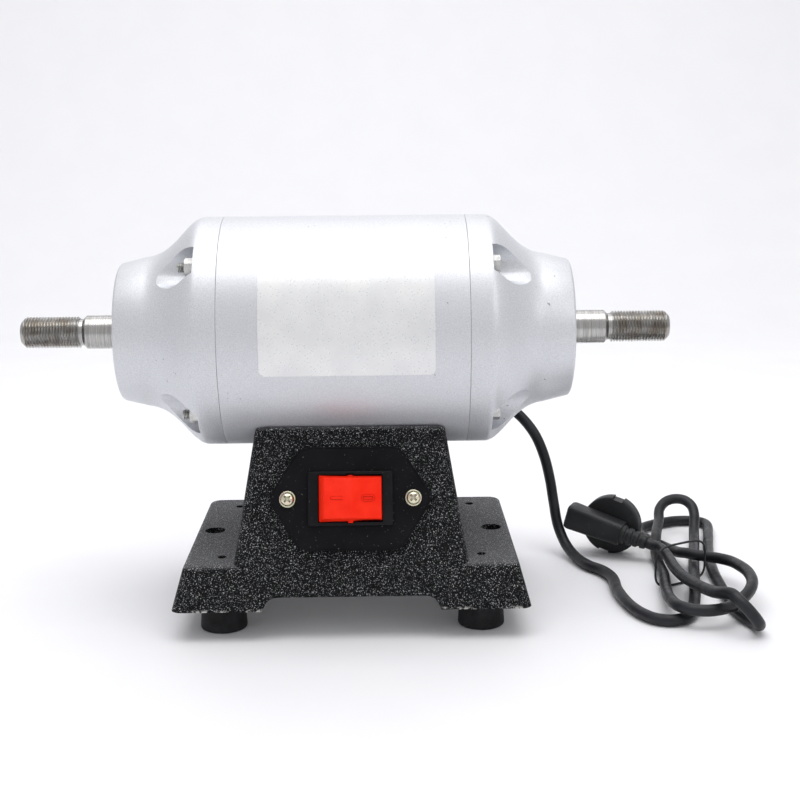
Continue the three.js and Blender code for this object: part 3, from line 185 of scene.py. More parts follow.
BARREL_BACK = -15.1
WELL_WIDTH = 31.2
WELL_HEIGHT = 23
WELL_DEPTH = 10
PIVOT_HEIGHT = 3.7
PIVOT_RADIUS = 1.5
PIVOT_LENGTH = 0.6
BLADE_SIZE = (0.8, 6.3, 9)
BLADE_SPACING = 14
ROCKER_END = 15.3
ROCKER_HEIGHT = 22.4
ROCKER_TILT = 11
ROCKER_VALLEY = 3.9
ROCKER_SKIRT = 4.6
ROCKER_DRAFT = 0.9
ROCKER_EDGE = 0.45
DRAFT_START = 1.2
ROCKER_WAIST = 0.9
MARK_LENGTH = 6.4
MARK_WIDTH = 1.2
MARK_HEIGHT = 0.4
RING_MARK_HEIGHT = 3
RING_MARK_LINE = 0.6

# Mains lead
CORD_RADIUS = 3
RELIEF_PLACE = (20, 51.67, 70.518)
RELIEF_FLANGE_RADIUS = 8
RELIEF_FLANGE = 2
RELIEF_SLEEVE = 24
RELIEF_ROOT = 6
RELIEF_TIP = 4
RELIEF_INNER = 9
RELIEF_GROOVES = 4
GROOVE_DEPTH = 0.9
GROOVE_SHARE = 0.42

# The lead's route from the strain relief down to the table
FREE_ROUTE = (
    (20, 77.1, 78.5), (20.5, 85, 81), (25.5, 96, 85), (37, 103.5, 89),
    (52, 104, 92), (68, 99, 91.5), (84, 92, 87), (97, 85, 79),
    (106, 80, 68.5), (111.5, 77.5, 56), (115, 76, 42), (117, 73.5, 29),
    (119, 69, 16.5), (122.5, 60.2, 7.6), (126.4, 48.7, 3.8), (131.6, 33.5, 3.2),
    (137.9, 23.9, 3.2), (141.5, 11.3, 3.2), (140.8, -7.7, 3.2),
)

# The route goes on through the loosely folded hank to the plug
HANK_ROUTE = (
    (141.9, -24.3, 3.2), (144.7, -38.8, 3.2), (147.9, -46.8, 3.2), (152.6, -53.2, 3.2),
    (159.4, -55.9, 3.2), (166.5, -53.3, 3.2), (171.9, -45.6, 3.2), (175.6, -34.5, 3.2),
    (179.2, -20.8, 4.4), (181.9, -7.6, 5.6), (185.1, 7.8, 5.5), (190.6, 32.7, 3.5),
    (195.3, 53.8, 3.5), (199.9, 74, 3.8), (201.5, 81.7, 5), (202.7, 87.3, 7.5),
    (204.4, 95.7, 14.4), (203.5, 100.1, 18.1), (199.7, 103.6, 20.6), (194.1, 105.2, 20.9),
    (188.5, 103.7, 19.5), (184.2, 98.9, 16.3), (182.1, 89.8, 12), (178.2, 76, 10.1),
    (175.5, 65, 8.4), (173.4, 54.5, 4.8), (172.1, 43.5, 3.2), (170.9, 27.5, 3.3),
    (168.7, 7, 5.3), (165.2, -15, 5.8), (162.4, -39.8, 8.6), (164, -54.2, 9.9),
    (169.4, -59.4, 9.9), (175.9, -61.1, 9.9), (182.9, -59.5, 9.9), (189.7, -54.9, 9.9),
    (196, -47.8, 10.6), (201.8, -40.5, 12.2), (206.3, -29.9, 13.6), (208, -14.9, 14),
    (206.7, 0.7, 13), (204.7, 10, 12.1), (200.9, 16.8, 11.4), (195.7, 21.9, 10.9),
    (189.9, 26.1, 10.7), (186, 31, 10.2), (183.5, 39, 8.2), (181.9, 52.9, 5.4),
    (179.2, 69, 3.2), (175.1, 78.1, 3.2), (171.8, 87.4, 3.2), (171.4, 96.6, 3.2),
    (174.9, 104, 3.2), (181.2, 109.9, 3.2), (188.5, 114.4, 3.2), (196.8, 118.4, 3.2),
    (205.1, 118.9, 3.2), (211.5, 116.7, 3.2), (215.2, 111, 3.2), (211.3, 87.6, 3.2),
    (206.6, 67.7, 3.2), (202.6, 48.7, 3.2), (199.6, 30.6, 3.2), (197.5, 12.3, 3.2),
    (196.3, -5.2, 3.2), (195.4, -22.7, 3.2), (194.8, -39.4, 3.2), (196.8, -51.6, 3.2),
    (199.8, -62.6, 3.5), (199.8, -69, 5.1), (197.3, -73.4, 9.1), (193.2, -74.3, 14.2),
    (189.1, -71.2, 18.3), (186.6, -65.4, 19.8), (181.8, -54.8, 17), (178.8, -41, 14.6),
    (176.4, -26.1, 12.6), (174.6, -9.4, 11), (174.1, 7.9, 10), (174.4, 25.2, 10),
    (174.3, 34, 10), (174, 39, 9.9), (173.4, 42.4, 9.9), (171.9, 45.2, 9.9),
    (169.8, 47.1, 10.1), (167.3, 48.5, 10.8),
)

# Tie round the hank's strands
TIE_RADIUS = 0.6
TIE_WIDTH = 35
TIE_HEIGHT = 22.4
TIE_PLACE = (177.4, 7.2, 12.1)
TIE_TURN = 30
TIE_POWER = 0.5
TIE_STEPS = 72

# Plug
PLUG_GAP = 0.3
DISC_RADIUS = 16.8
DISC_THICKNESS = 8
DISC_ROUND = 1.6
GRIP_WIDTH = 14.5
GRIP_END_WIDTH = 12.5
GRIP_DEPTH = 13
GRIP_BACK = 24
GRIP_FRONT = 9
GRIP_ROUND = 3
GRIP_TILT = 14.5
PLUG_TURN = 25
SLEEVE_LENGTH = 15
SLEEVE_ROOT = 5.75
SLEEVE_TIP = 3.8
SLEEVE_GROOVES = 3
SLEEVE_GROOVE_DEPTH = 0.8
NOTCH_WIDTH = 6
NOTCH_DEPTH = 1.6
PIN_RADIUS = 2.4
PIN_LENGTH = 19
PIN_SPACING = 19
PIN_SOCKET = 5
PIN_ROUND = 1.2

# Grains of the finishes, heights of their bumps, reaches of wear, and reaches of painted shade in
# corners
SPECKLE_GRAIN = 0.55
SPECKLE_RISE = 0.035
SILVER_CLOUD = 28
SILVER_WAVE = 6
SILVER_WAVE_RISE = 0.03
SCUFF_GRAIN = 2.2
SCUFFED_AREA = 30
LUMP_GRAIN = 1.3
LUMP_RISE = 0.45
PIT_GRAIN = 1.5
PIT_RISE = 0.3
# grain of the painted glints and of the bumps that go with them
GLINT_GRAIN = 0.5
GLINT_RISE = 0.12
CHIP_HEIGHT = 1.4
CHIP_GRAIN = 1.1
CHIPPED_AREA = 9
SATIN_GRAIN = 0.5
SATIN_RISE = 0.02
SATIN_CLOUD = 14
DUST_GRAIN = 0.9
RED_CLOUD = 7
RED_SHEEN = 2
RED_WAVE = 3.5
RED_WAVE_RISE = 0.03
RED_SHADE_REACH = 0.8
RING_GRAIN = 0.35
RING_RISE = 0.006
STAIN_FADE = 4
STAIN_GRAIN = 6
PLATING_GRAIN = 0.5
PLATING_RISE = 0.01
PLATING_CLOUD = 3.2
PLATING_SHEEN = 0.9
CORNER_SHADE_REACH = 0.9
SHEET_GRAIN = 0.5
SHEET_RISE = 0.08
WIRE_GRAIN = 0.9
WIRE_RISE = 0.4
RUBBER_GRAIN = 0.8
RUBBER_RISE = 0.06
RUBBER_CLOUD = 9
SHEATH_CLOUD = 16
SHEATH_SHEEN = 4
SHEATH_WAVE = 2.4
SHEATH_WAVE_RISE = 0.05
FOIL_CLOUD = 18
FOIL_SHEEN = 1.2
FOIL_WAVE = 9
FOIL_WAVE_RISE = 0.03
WHITE_GRAIN = 0.6
WHITE_RISE = 0.03
WHITE_CLOUD = 5
TABLE_CLOUD = 60

# Shares in the finishes
NOISE_RANGE = (0.3, 0.7)  # what most of a noise keeps to
SATIN_LIFT = 1.5  # how much brighter the bright patches of satin black are
CORNER_SHADE_SHARE = 0.08  # how dark the painted shade in the plating's corners is, beside its darker tone

# Facets of round forms
FINE = 160
ROUND = 64
SMALL = 32
CORNER_STEPS = 8
FILLET_STEPS = 4
HEX_FACETS = 72
THREAD_STEPS = 8  # rings to a turn of thread

# Cuts, ends and edges of all forms
OVERRUN = 1
FACE_START = 1  # radius at which the flat end of a solid turned form begins
CREASE = 35  # degrees past which an edge looks sharp

# Camera, at the photograph's own angle
CAMERA_PLACE = (17.2, -709.4, 245.6)
CAMERA_LIFT = 11.22
CAMERA_YAW = -0.81
CAMERA_ROLL = -0.53
LENS = 62.79
SENSOR = 36

# Floor and backdrop
SWEEP_WIDTH = 6000
SWEEP_FRONT = -1800
SWEEP_BEND = 900
SWEEP_RADIUS = 600
SWEEP_HEIGHT = 2600

# Name, place, aim, size and watts of each light, and the light from all round
LIGHTS = (
    ("top_light", (0, -150, 1500), (0, 0, 100), (1600, 1100), 14),
    ("right_light", (1300, -1100, 1100), (0, 0, 120), (900, 900), 3),
    ("back_light", (0, 1000, 1500), (0, 0, 150), (1800, 900), 5),
)
WORLD_COLOR = (0.93, 0.93, 0.95, 1)
WORLD_STRENGTH = 0.7

ALONG_Z = Matrix.Rotation(math.radians(-90), 4, "Y")  # turns what lies along X upright
ALONG_Y = Matrix.Rotation(math.pi / 2, 4, "Z")  # turns what lies along X to lie along Y
MOTOR = Matrix.Translation((0, 0, AXIS_HEIGHT))
BASE = Matrix.Translation((BASE_SHIFT, 0, 0))
LEAN = math.radians(FACE_TILT)
SLOPE = math.tan(LEAN)


def moved(x, y, z):
    return Matrix.Translation((x, y, z))


def new_object(name, data):
    made = bpy.data.objects.new(name, data)
    bpy.context.scene.collection.objects.link(made)
    return made


def make_camera():
    yaw = math.radians(CAMERA_YAW)
    lift = math.radians(CAMERA_LIFT)
    back = Vector((math.sin(yaw) * math.cos(lift), -math.cos(yaw) * math.cos(lift), math.sin(lift)))
    right = back.cross(Vector((0, 0, -1))).normalized()
    turn = Matrix((right, back.cross(right), back)).transposed().to_4x4()
    camera = new_object("camera", bpy.data.cameras.new("camera"))
    camera.data.lens = LENS
    camera.data.sensor_width = SENSOR
    roll = Matrix.Rotation(math.radians(CAMERA_ROLL), 4, "Z")
    camera.matrix_world = moved(*(Vector(CAMERA_PLACE) * MM)) @ turn @ roll
    bpy.context.scene.camera = camera


def mesh_object(name, points, faces, place):
    """A mesh from points in millimetres, put in place and scaled to metres."""
    mesh = bpy.data.meshes.new(name)
    mesh.from_pydata([tuple((place @ Vector(p)) * MM) for p in points], [], faces)
    mesh.validate()
    return new_object(name, mesh)


def apply_modifiers(piece):
    graph = bpy.context.evaluated_depsgraph_get()
    mesh = bpy.data.meshes.new_from_object(piece.evaluated_get(graph))
    piece.modifiers.clear()
    piece.data = mesh
    return piece


def combine(piece, tools, operation="DIFFERENCE"):
    """Cuts the tools from a piece, or joins them to it, and uses them up."""
    for tool in tools:
        modifier = piece.modifiers.new(tool.name, "BOOLEAN")
        modifier.operation = operation
        modifier.solver = "EXACT"
        modifier.object = tool
        apply_modifiers(piece)
        bpy.data.objects.remove(tool)
    return piece


def quarter(count):
    """Sines and cosines at even steps of a quarter turn."""
    angles = [math.pi / 2 * i / count for i in range(count + 1)]
    return [(math.sin(angle), math.cos(angle)) for angle in angles]


def filleted(corners, closed=False):
    """Points of an outline whose corners, given as (a, b, fillet), are rounded off."""
    points = []
    for i, (a, b, fillet) in enumerate(corners):
        here = Vector((a, b))
        if fillet == 0 or (not closed and i in (0, len(corners) - 1)):
            points.append(here)
            continue
        before = Vector(corners[i - 1][:2])
        after = Vector(corners[(i + 1) % len(corners)][:2])
        start = here + (before - here).normalized() * fillet
        end = here + (after - here).normalized() * fillet
        for step in range(FILLET_STEPS + 1):
            t = step / FILLET_STEPS
            points.append(start * (1 - t) ** 2 + here * 2 * t * (1 - t) + end * t**2)
    return points


def bezier(corners, steps):
    a, b, c, d = (Vector(p) for p in corners)
    points = []
    for step in range(steps + 1):
        t = step / steps
        points.append(a * (1 - t) ** 3 + b * 3 * t * (1 - t) ** 2 + c * 3 * t**2 * (1 - t) + d * t**3)
    return points


def lofted(name, rings, place=Matrix(), loop=False):
    """A skin over rings of equal counts; closed at both ends, or on itself where it loops."""
    count = len(rings[0])
    points = [p for ring in rings for p in ring]
    faces = []
    spans = len(rings) if loop else len(rings) - 1
    for i in range(spans):
        j = (i + 1) % len(rings)
        for k in range(count):
            n = (k + 1) % count
            faces.append((i * count + k, i * count + n, j * count + n, j * count + k))
    if not loop:
        faces.append(tuple(reversed(range(count))))
        faces.append(tuple(range(len(points) - count, len(points))))
    return outward(mesh_object(name, points, faces, place))


def outward(piece):
    """Turns a closed mesh's faces to look out."""
    mesh = piece.data
    volume = 0
    mesh.calc_loop_triangles()
    for triangle in mesh.loop_triangles:
        a, b, c = (mesh.vertices[v].co for v in triangle.vertices)
        volume += a.dot(b.cross(c))
    if volume < 0:
        mesh.flip_normals()
    return piece


def turned(name, stations, facets, place=Matrix(), loop=False):
    """A form turned about X; a station is (place, radius), and a radius may change with the angle."""
    rings = []
    for along, radius in stations:
        ring = []
        for i in range(facets):
            angle = 2 * math.pi * i / facets
            reach = radius(angle) if callable(radius) else radius
            ring.append((along, reach * math.cos(angle), reach * math.sin(angle)))
        rings.append(ring)
    return lofted(name, rings, place, loop)


def ring_piece(name, corners, place, facets=ROUND):
    """A hollow turned piece whose section has these corners."""
    return turned(name, filleted(corners, closed=True), facets, place, loop=True)


def solid_piece(name, corners, place, facets):
    """A solid turned piece whose outline has these corners between its flat ends."""
    ends = [(corners[i][0], FACE_START, 0) for i in (0, -1)]
    return turned(name, filleted([ends[0], *corners, ends[1]]), facets, place)


def rod(name, start, end, radius, facets, place):
    return turned(name, [(start, radius), (end, radius)], facets, place)


def box(name, size, place):
    width, depth, height = (s / 2 for s in size)
    corners = ((-width, -depth), (width, -depth), (width, depth), (-width, depth))
    return lofted(name, [[(x, y, z) for x, y in corners] for z in (-height, height)], place)


def coated(piece, material):
    """The piece in its finish, with a mesh shaded smooth between its edges."""
    piece.data.materials.clear()
    piece.data.materials.append(material)
    if piece.type == "MESH":
        piece.data.shade_smooth()
        piece.data.set_sharp_from_angle(angle=math.radians(CREASE))
    return piece


def dress(piece, material, slot, *nodes, body="frame"):
    """The piece takes its finish, rides on a body and stands for CAD nodes."""
    coated(piece, material)
    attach(piece, body)
    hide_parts(*nodes)
    return piece


def motor_tube():
    inner = BODY_RADIUS - SHELL_WALL
    half = SEAM - SEAM_OPEN / 2
    corners = [
        (-half, inner, 0),
        (-half, BODY_RADIUS, SEAM_ROUND),
        (half, BODY_RADIUS, SEAM_ROUND),
        (half, inner, 0),
    ]
    return ring_piece("motor_tube", corners, MOTOR, FINE)


def bell(name, side):
    shoulder = SEAM + SHOULDER_LAND
    flare_end = shoulder + FLARE_LENGTH
    flare = bezier(
        [
            (shoulder, BODY_RADIUS),
            (shoulder + SHOULDER_REACH, BODY_RADIUS),
            (flare_end - FLARE_REACH, HUB_RADIUS + FLARE_RISE),
            (flare_end, HUB_RADIUS),
        ],
        3 * CORNER_STEPS,
    )
    start = SEAM + SEAM_OPEN / 2
    corners = [(start, SPIGOT_RADIUS, 0), (start, BODY_RADIUS, SEAM_ROUND), (shoulder, BODY_RADIUS, 0)]
    front = filleted(corners)
    rim = filleted(
        [
            (flare_end, HUB_RADIUS, 0),
            (HUB_FACE, RIM_RADIUS, RIM_ROUND),
            (HUB_FACE, CAP_RADIUS + SEAM_GAP, SEAM_ROUND),
            (HUB_FACE - CAP_RECESS, CAP_RADIUS + SEAM_GAP, 0),
            (HUB_FACE - CAP_RECESS, LIP_RADIUS, 0),
            (SEAT_TO, LIP_RADIUS, 0),
            (SEAT_TO, SEAT_RADIUS, 0),
            (SEAT_FROM, SEAT_RADIUS, 0),
            (SEAT_FROM, NECK_RADIUS, 0),
            (CHAMBER_END, CHAMBER_RADIUS, 0),
            (CHAMBER_START, CHAMBER_RADIUS, 0),
            (CHAMBER_START, SPIGOT_RADIUS - BELL_WALL, 0),
            (start - SPIGOT_LENGTH, SPIGOT_RADIUS - BELL_WALL, 0),
            (start - SPIGOT_LENGTH, SPIGOT_RADIUS, 0),
        ],
    )
    made = turned(name, front[:-1] + flare[:-1] + rim, FINE, MOTOR, loop=True)
    tools = []
    for place_name, angle in BOLT_ANGLES:
        place = MOTOR @ bolt_place(angle)
        tools.append(rod(place_name, POCKET_SEAT, HUB_FACE + OVERRUN, POCKET_RADIUS, ROUND, place))
        tools.append(rod(place_name, CHAMBER_START / 2, HUB_FACE, BOLT_RADIUS + SEAM_GAP, SMALL, place))
    combine(made, tools)
    if side < 0:
        made.data.transform(Matrix.Scale(-1, 4, (1, 0, 0)))
        made.data.flip_normals()
    return made


def bolt_place(angle):
    turn = math.radians(angle)
    return moved(0, BOLT_CIRCLE * math.cos(turn), BOLT_CIRCLE * math.sin(turn))


def thread_radius(along, crest, depth, pitch, hand):
    """The radius of a threaded rod at a place on its axis, as a function of the angle."""

    def radius(angle):
        turn = (along / pitch - hand * angle / (2 * math.pi)) % 1
        height = abs(2 * turn - 1)
        share = (height - THREAD_FLAT_SHARE) / (1 - 2 * THREAD_FLAT_SHARE)
        return crest - depth * (1 - min(max(share, 0), 1))

    return radius


def threaded(start, end, crest, depth, pitch, hand, limit):
    """Stations of a thread; limit is the radius that a chamfer leaves at a place."""
    count = round(abs(end - start) / pitch * THREAD_STEPS)
    stations = []
    for i in range(count + 1):
        along = start + (end - start) * i / count
        shape = thread_radius(along, crest, depth, pitch, hand)
        stations.append((along, lambda angle, shape=shape, along=along: min(shape(angle), limit(along))))
    return stations


def spindle():
    thread_start = SHAFT_END - THREAD_LENGTH
    relief_end = thread_start - RELIEF_LENGTH
    taper = SHAFT_RADIUS - RELIEF_RADIUS

    def half(side):
        def chamfer(along):
            return THREAD_RADIUS - max(0, abs(along) - (SHAFT_END - TIP_CHAMFER))

        plain = [
            (ROTOR_SHAFT_END, ROTOR_SHAFT_RADIUS),
            (ROTOR_SHAFT_END, SHAFT_RADIUS),
            (relief_end - taper, SHAFT_RADIUS),
            (relief_end, RELIEF_RADIUS),
            (thread_start, RELIEF_RADIUS),
        ]
        stations = [(side * along, radius) for along, radius in plain]
        ends = (side * thread_start, side * SHAFT_END)
        return stations + threaded(*ends, THREAD_RADIUS, THREAD_DEPTH, THREAD_PITCH, side, chamfer)

    stations = list(reversed(half(-1))) + half(1)
    return turned("spindle", stations, ROUND, MOTOR)


def hub_cap(name, side):
    start = HUB_FACE - CAP_RECESS + SEAM_GAP
    end = start + CAP_THICKNESS
    corners = ((start, CAP_BORE), (start, CAP_RADIUS), (end, CAP_RADIUS), (end, CAP_BORE))
    return ring_piece(name, [(side * along, radius, CAP_ROUND) for along, radius in corners], MOTOR)


def hexagon_radius(limit):
    """The radius of a hexagon at an angle, held under a limit."""

    def radius(angle):
        sixth = math.pi / 3
        off = (angle + sixth / 2) % sixth - sixth / 2
        return min(NUT_WIDTH / 2 / math.cos(off), limit)

    return radius


def hexagon_stations(seat, top):
    """Stations of a hexagon from its seat to its chamfered top."""
    corner = NUT_WIDTH / math.sqrt(3)
    out = 1 if top > seat else -1
    stations = [(seat, hexagon_radius(corner))]
    for i in range(FILLET_STEPS + 1):
        limit = corner - (corner - HEX_CROWN) * i / FILLET_STEPS
        stations.append((top - out * (limit - HEX_CROWN) * HEX_SLOPE, hexagon_radius(limit)))
    return stations


def through_bolt(name, angle):
    seat = POCKET_SEAT + SEAM_GAP
    tip = -(seat + NUT_HEIGHT + BOLT_TIP)

    def chamfer(along):
        return BOLT_RADIUS - max(0, BOLT_RADIUS / 4 - (along - tip))

    thread = threaded(tip, tip + BOLT_THREAD, BOLT_RADIUS, BOLT_PITCH / 2, BOLT_PITCH, 1, chamfer)
    stations = thread + [(seat, BOLT_RADIUS)] + hexagon_stations(seat, seat + HEAD_HEIGHT)
    return turned(name, stations, HEX_FACETS, MOTOR @ bolt_place(angle))


def bolt_nut(name, angle):
    seat = -(POCKET_SEAT + SEAM_GAP)
    bore = BOLT_RADIUS + SEAM_GAP
    outside = hexagon_stations(seat, seat - NUT_HEIGHT)
    stations = [(seat, bore)] + outside + [(seat - NUT_HEIGHT, bore)]
    return turned(name, stations, HEX_FACETS, MOTOR @ bolt_place(angle), loop=True)


def label():
    """A bare plate bent round the shell, with rounded corners."""
    low, high = (math.radians(a) for a in LABEL_ANGLES)
    inner = BODY_RADIUS + LABEL_THICKNESS / 3
    outer = inner + LABEL_THICKNESS
    length = (high - low) * BODY_RADIUS
    near = [LABEL_CORNER * (1 - left) for _, left in quarter(CORNER_STEPS)]
    far = [length - place for place in reversed(near)]
    spots = [length * i / ROUND for i in range(1, ROUND)]
    middle = [place for place in spots if near[-1] < place < far[0]]
    rings = []
    for place in near + middle + far:
        reach = min(place, length - place, LABEL_CORNER)
        pulled = LABEL_CORNER - math.sqrt(LABEL_CORNER**2 - (LABEL_CORNER - reach) ** 2)
        half = LABEL_WIDTH / 2 - pulled
        angle = low + place / BODY_RADIUS
        ring = []
        for x, radius in ((-half, inner), (half, inner), (half, outer), (-half, outer)):
            ring.append((LABEL_SHIFT + x, -radius * math.cos(angle), radius * math.sin(angle)))
        rings.append(ring)
    return lofted("label", rings, MOTOR)


def rounded_rectangle(width, depth, corner, z):
    points = []
    for turn, (side_x, side_y) in enumerate(((1, 1), (-1, 1), (-1, -1), (1, -1))):
        for step in range(CORNER_STEPS + 1):
            angle = (turn + step / CORNER_STEPS) * math.pi / 2
            x = side_x * (width / 2 - corner) + corner * math.cos(angle)
            y = side_y * (depth / 2 - corner) + corner * math.sin(angle)
            points.append((x, y, z))
    return points


def between(a, b, share):
    return a + (b - a) * share


def skirt_width(z):
    return between(SKIRT_WIDTH, FLANGE_WIDTH, (z - SKIRT_BOTTOM) / (FLANGE_TOP - SKIRT_BOTTOM))


def pedestal_width(z):
    return between(PEDESTAL_FOOT, PEDESTAL_HEAD, (z - FLANGE_TOP) / (PEDESTAL_TOP - FLANGE_TOP))


def depth_at(z):
    return SKIRT_DEPTH - 2 * (z - SKIRT_BOTTOM) * SLOPE


def tapered_block(name, width_at, bottom, top, inset=0, edge=0):
    """A tapered block with rounded corners, shrunk by an inset, whose top edge may be rounded."""
    levels = [(bottom, inset), (top - edge, inset)]
    if edge > 0:
        for rise, left in quarter(FILLET_STEPS)[1:]:
            levels.append((top - edge * (1 - rise), inset + edge * (1 - left)))
    rings = []
    for z, shrink in levels:
        width = width_at(z) - 2 * shrink
        depth = depth_at(z) - 2 * shrink
        rings.append(rounded_rectangle(width, depth, PLAN_CORNER, z))
    return lofted(name, rings, BASE)


def foot_places():
    x, y = FOOT_PLACE
    return (("front_left", -x, -y), ("front_right", x, -y), ("back_right", x, y), ("back_left", -x, y))


def upright(name, x, y, start, end, radius, facets=SMALL):
    return rod(name, start, end, radius, facets, BASE @ moved(x, y, 0) @ ALONG_Z)


def switch_place():
    up = PLATE_UP * math.sin(LEAN)
    place = moved(BASE_SHIFT, up - SKIRT_DEPTH / 2, SKIRT_BOTTOM + PLATE_UP * math.cos(LEAN))
    return place @ Matrix.Rotation(math.pi / 2 - LEAN, 4, "X")


def screw_place(side):
    return switch_place() @ moved(side * PLATE_SCREW_PLACE, 0, 0)


def switch_tools(depth, start, end):
    """Cut the switch's window to a depth, and the holes of the plate's screws from start to end."""
    window = (BARREL_WIDTH + 2 * SEAM_GAP, BARREL_HEIGHT + 2 * SEAM_GAP, depth)
    tools = [box("window", window, switch_place())]
    for name, side in SIDES:
        tools.append(rod(name, start, end, PLATE_SCREW_HOLE, SMALL, screw_place(side) @ ALONG_Z))
    return tools


def relief_place():
    return Matrix.Translation(RELIEF_PLACE) @ Matrix.Rotation(LEAN - math.pi / 2, 4, "X")


def casting():
    made = tapered_block("casting", skirt_width, SKIRT_BOTTOM, FLANGE_TOP, edge=EDGE_ROUND)
    pedestal = tapered_block("pedestal", pedestal_width, PEDESTAL_BOTTOM, PEDESTAL_TOP, edge=EDGE_ROUND)
    combine(made, [pedestal], "UNION")
    ceiling = FLANGE_TOP - BASE_WALL
    under = tapered_block("under", skirt_width, SKIRT_BOTTOM - OVERRUN, ceiling, BASE_WALL)
    inside = tapered_block("inside", pedestal_width, PEDESTAL_BOTTOM, PEDESTAL_TOP + OVERRUN, BASE_WALL)
    axis = BASE @ MOTOR
    seat_wall = rod("seat_wall", -SKIRT_WIDTH, SKIRT_WIDTH, SADDLE_RADIUS + BASE_WALL, FINE, axis)
    combine(inside, [seat_wall])
    combine(made, [under, inside])
    bosses = []
    for name, x, y in foot_places():
        bosses.append(upright(name, x, y, PEDESTAL_BOTTOM, FLANGE_TOP - BASE_WALL / 2, BOSS_RADIUS))
    combine(made, bosses, "UNION")
    tools = [rod("saddle", -SKIRT_WIDTH, SKIRT_WIDTH, SADDLE_RADIUS, FINE, axis), arch_tool()]
    for name, x, y in foot_places():
        tools.append(upright(name, x, y, SKIRT_BOTTOM, FLANGE_TOP + OVERRUN, FOOT_HOLE_RADIUS))
    for x in (-STATION_PLACE, STATION_PLACE):
        tools.append(upright("station", x, 0, SKIRT_BOTTOM, FLANGE_TOP + OVERRUN, STATION_RADIUS, ROUND))
    for x in (-SCREW_PLACE, SCREW_PLACE):
        tools.append(upright("screw", x, 0, FLANGE_TOP, PEDESTAL_TOP, MOTOR_SCREW_HOLE))
    tools.append(upright("lead", LEAD_PLACE, 0, FLANGE_TOP, PEDESTAL_TOP, LEAD_HOLE))
    inside_end = -3 * BASE_WALL
    tools += switch_tools(4 * BASE_WALL, inside_end, OVERRUN)
    exit_place = relief_place() @ ALONG_Z
    tools.append(rod("exit", inside_end, OVERRUN, RELIEF_ROOT + SEAM_GAP, SMALL, exit_place))
    return combine(made, tools)


def arch_tool():
    """Cuts the shallow arches from the front and back edges of the skirt."""
    low = ARCH_WIDTH / 2 + ARCH_SPLAY
    high = ARCH_WIDTH / 2
    bottom = SKIRT_BOTTOM - OVERRUN
    top = SKIRT_BOTTOM + ARCH_HEIGHT
    corners = [(-low, bottom, 0), (low, bottom, 0), (high, top, ARCH_SPLAY), (-high, top, ARCH_SPLAY)]
    outline = filleted(corners, closed=True)
    rings = [[(p.x, y, p.y) for p in outline] for y in (-SKIRT_DEPTH, SKIRT_DEPTH)]
    return lofted("arch", rings, BASE)


def foot(name, x, y):
    corners = [
        (0, FOOT_BORE, SEAM_GAP),
        (0, FOOT_RADIUS, FOOT_ROUND),
        (FOOT_LENGTH, FOOT_TOP_RADIUS, SEAM_GAP),
        (FOOT_LENGTH, FOOT_HOLE_RADIUS, 0),
        (FOOT_BORE_DEPTH, FOOT_HOLE_RADIUS, 0),
        (FOOT_BORE_DEPTH, FOOT_BORE, SEAM_GAP),
    ]
    return ring_piece(name, corners, BASE @ moved(x, y, 0) @ ALONG_Z)


def plate_ring(inset, z):
    """The hexagon of the switch plate with rounded corners, shrunk all round by an inset."""
    tip = PLATE_WIDTH / 2 - inset
    flat = PLATE_FLAT / 2 - inset / 2
    high = PLATE_HEIGHT / 2 - inset
    corners = [(tip, 0), (flat, high), (-flat, high), (-tip, 0), (-flat, -high), (flat, -high)]
    outline = filleted([(x, y, PLATE_CORNER) for x, y in corners], closed=True)
    return [(p.x, p.y, z) for p in outline]


def eased(back, face, edge):
    """Insets and heights of a wall from back to face whose edge is rounded off."""
    return [(0, back), (0, face - edge), (edge / 3, face - edge / 3), (edge, face)]


def switch_plate():
    levels = eased(PLATE_BACK, PLATE_FRONT, RIM_EDGE)
    levels += [(RIM_WIDTH - RIM_EDGE, PLATE_FRONT), (RIM_WIDTH, PLATE_FRONT - RIM_HEIGHT)]
    made = lofted("hexagon_plate", [plate_ring(inset, z) for inset, z in levels], switch_place())
    return combine(made, switch_tools(4 * PLATE_FRONT, -OVERRUN, PLATE_FRONT + OVERRUN))


def cup_washer(name, side):
    face = PLATE_FRONT - RIM_HEIGHT + SEAM_GAP
    corners = [
        (face, PLATE_SCREW_HOLE, 0),
        (face, CUP_RADIUS, SEAM_GAP),
        (face + CUP_THICKNESS, (CUP_RADIUS + SCREW_HEAD_RADIUS) / 2, SEAM_GAP),
        (face + CUP_THICKNESS, PLATE_SCREW_HOLE, 0),
    ]
    return ring_piece(name, corners, screw_place(side) @ ALONG_Z)


def plate_screw(name, side):
    seat = PLATE_FRONT - RIM_HEIGHT + 2 * SEAM_GAP + CUP_THICKNESS
    tip = seat - SCREW_LENGTH
    stations = [(tip, SCREW_RADIUS / 2), (tip + SCREW_RADIUS, SCREW_RADIUS), (seat, SCREW_RADIUS)]
    for rise, left in quarter(CORNER_STEPS):
        stations.append((seat + SCREW_HEAD_HEIGHT * rise, max(SCREW_HEAD_RADIUS * left, SEAM_GAP)))
    made = turned(name, stations, ROUND, screw_place(side) @ ALONG_Z)
    crown = screw_place(side) @ moved(0, 0, seat + SCREW_HEAD_HEIGHT)
    place = crown @ Matrix.Rotation(math.pi / 4, 4, "Z")
    cross = []
    for width, depth in ((CROSS_LENGTH, CROSS_WIDTH), (CROSS_WIDTH, CROSS_LENGTH)):
        cross.append(box("cross", (width, depth, 2 * CROSS_DEPTH), place))
    return combine(made, cross)


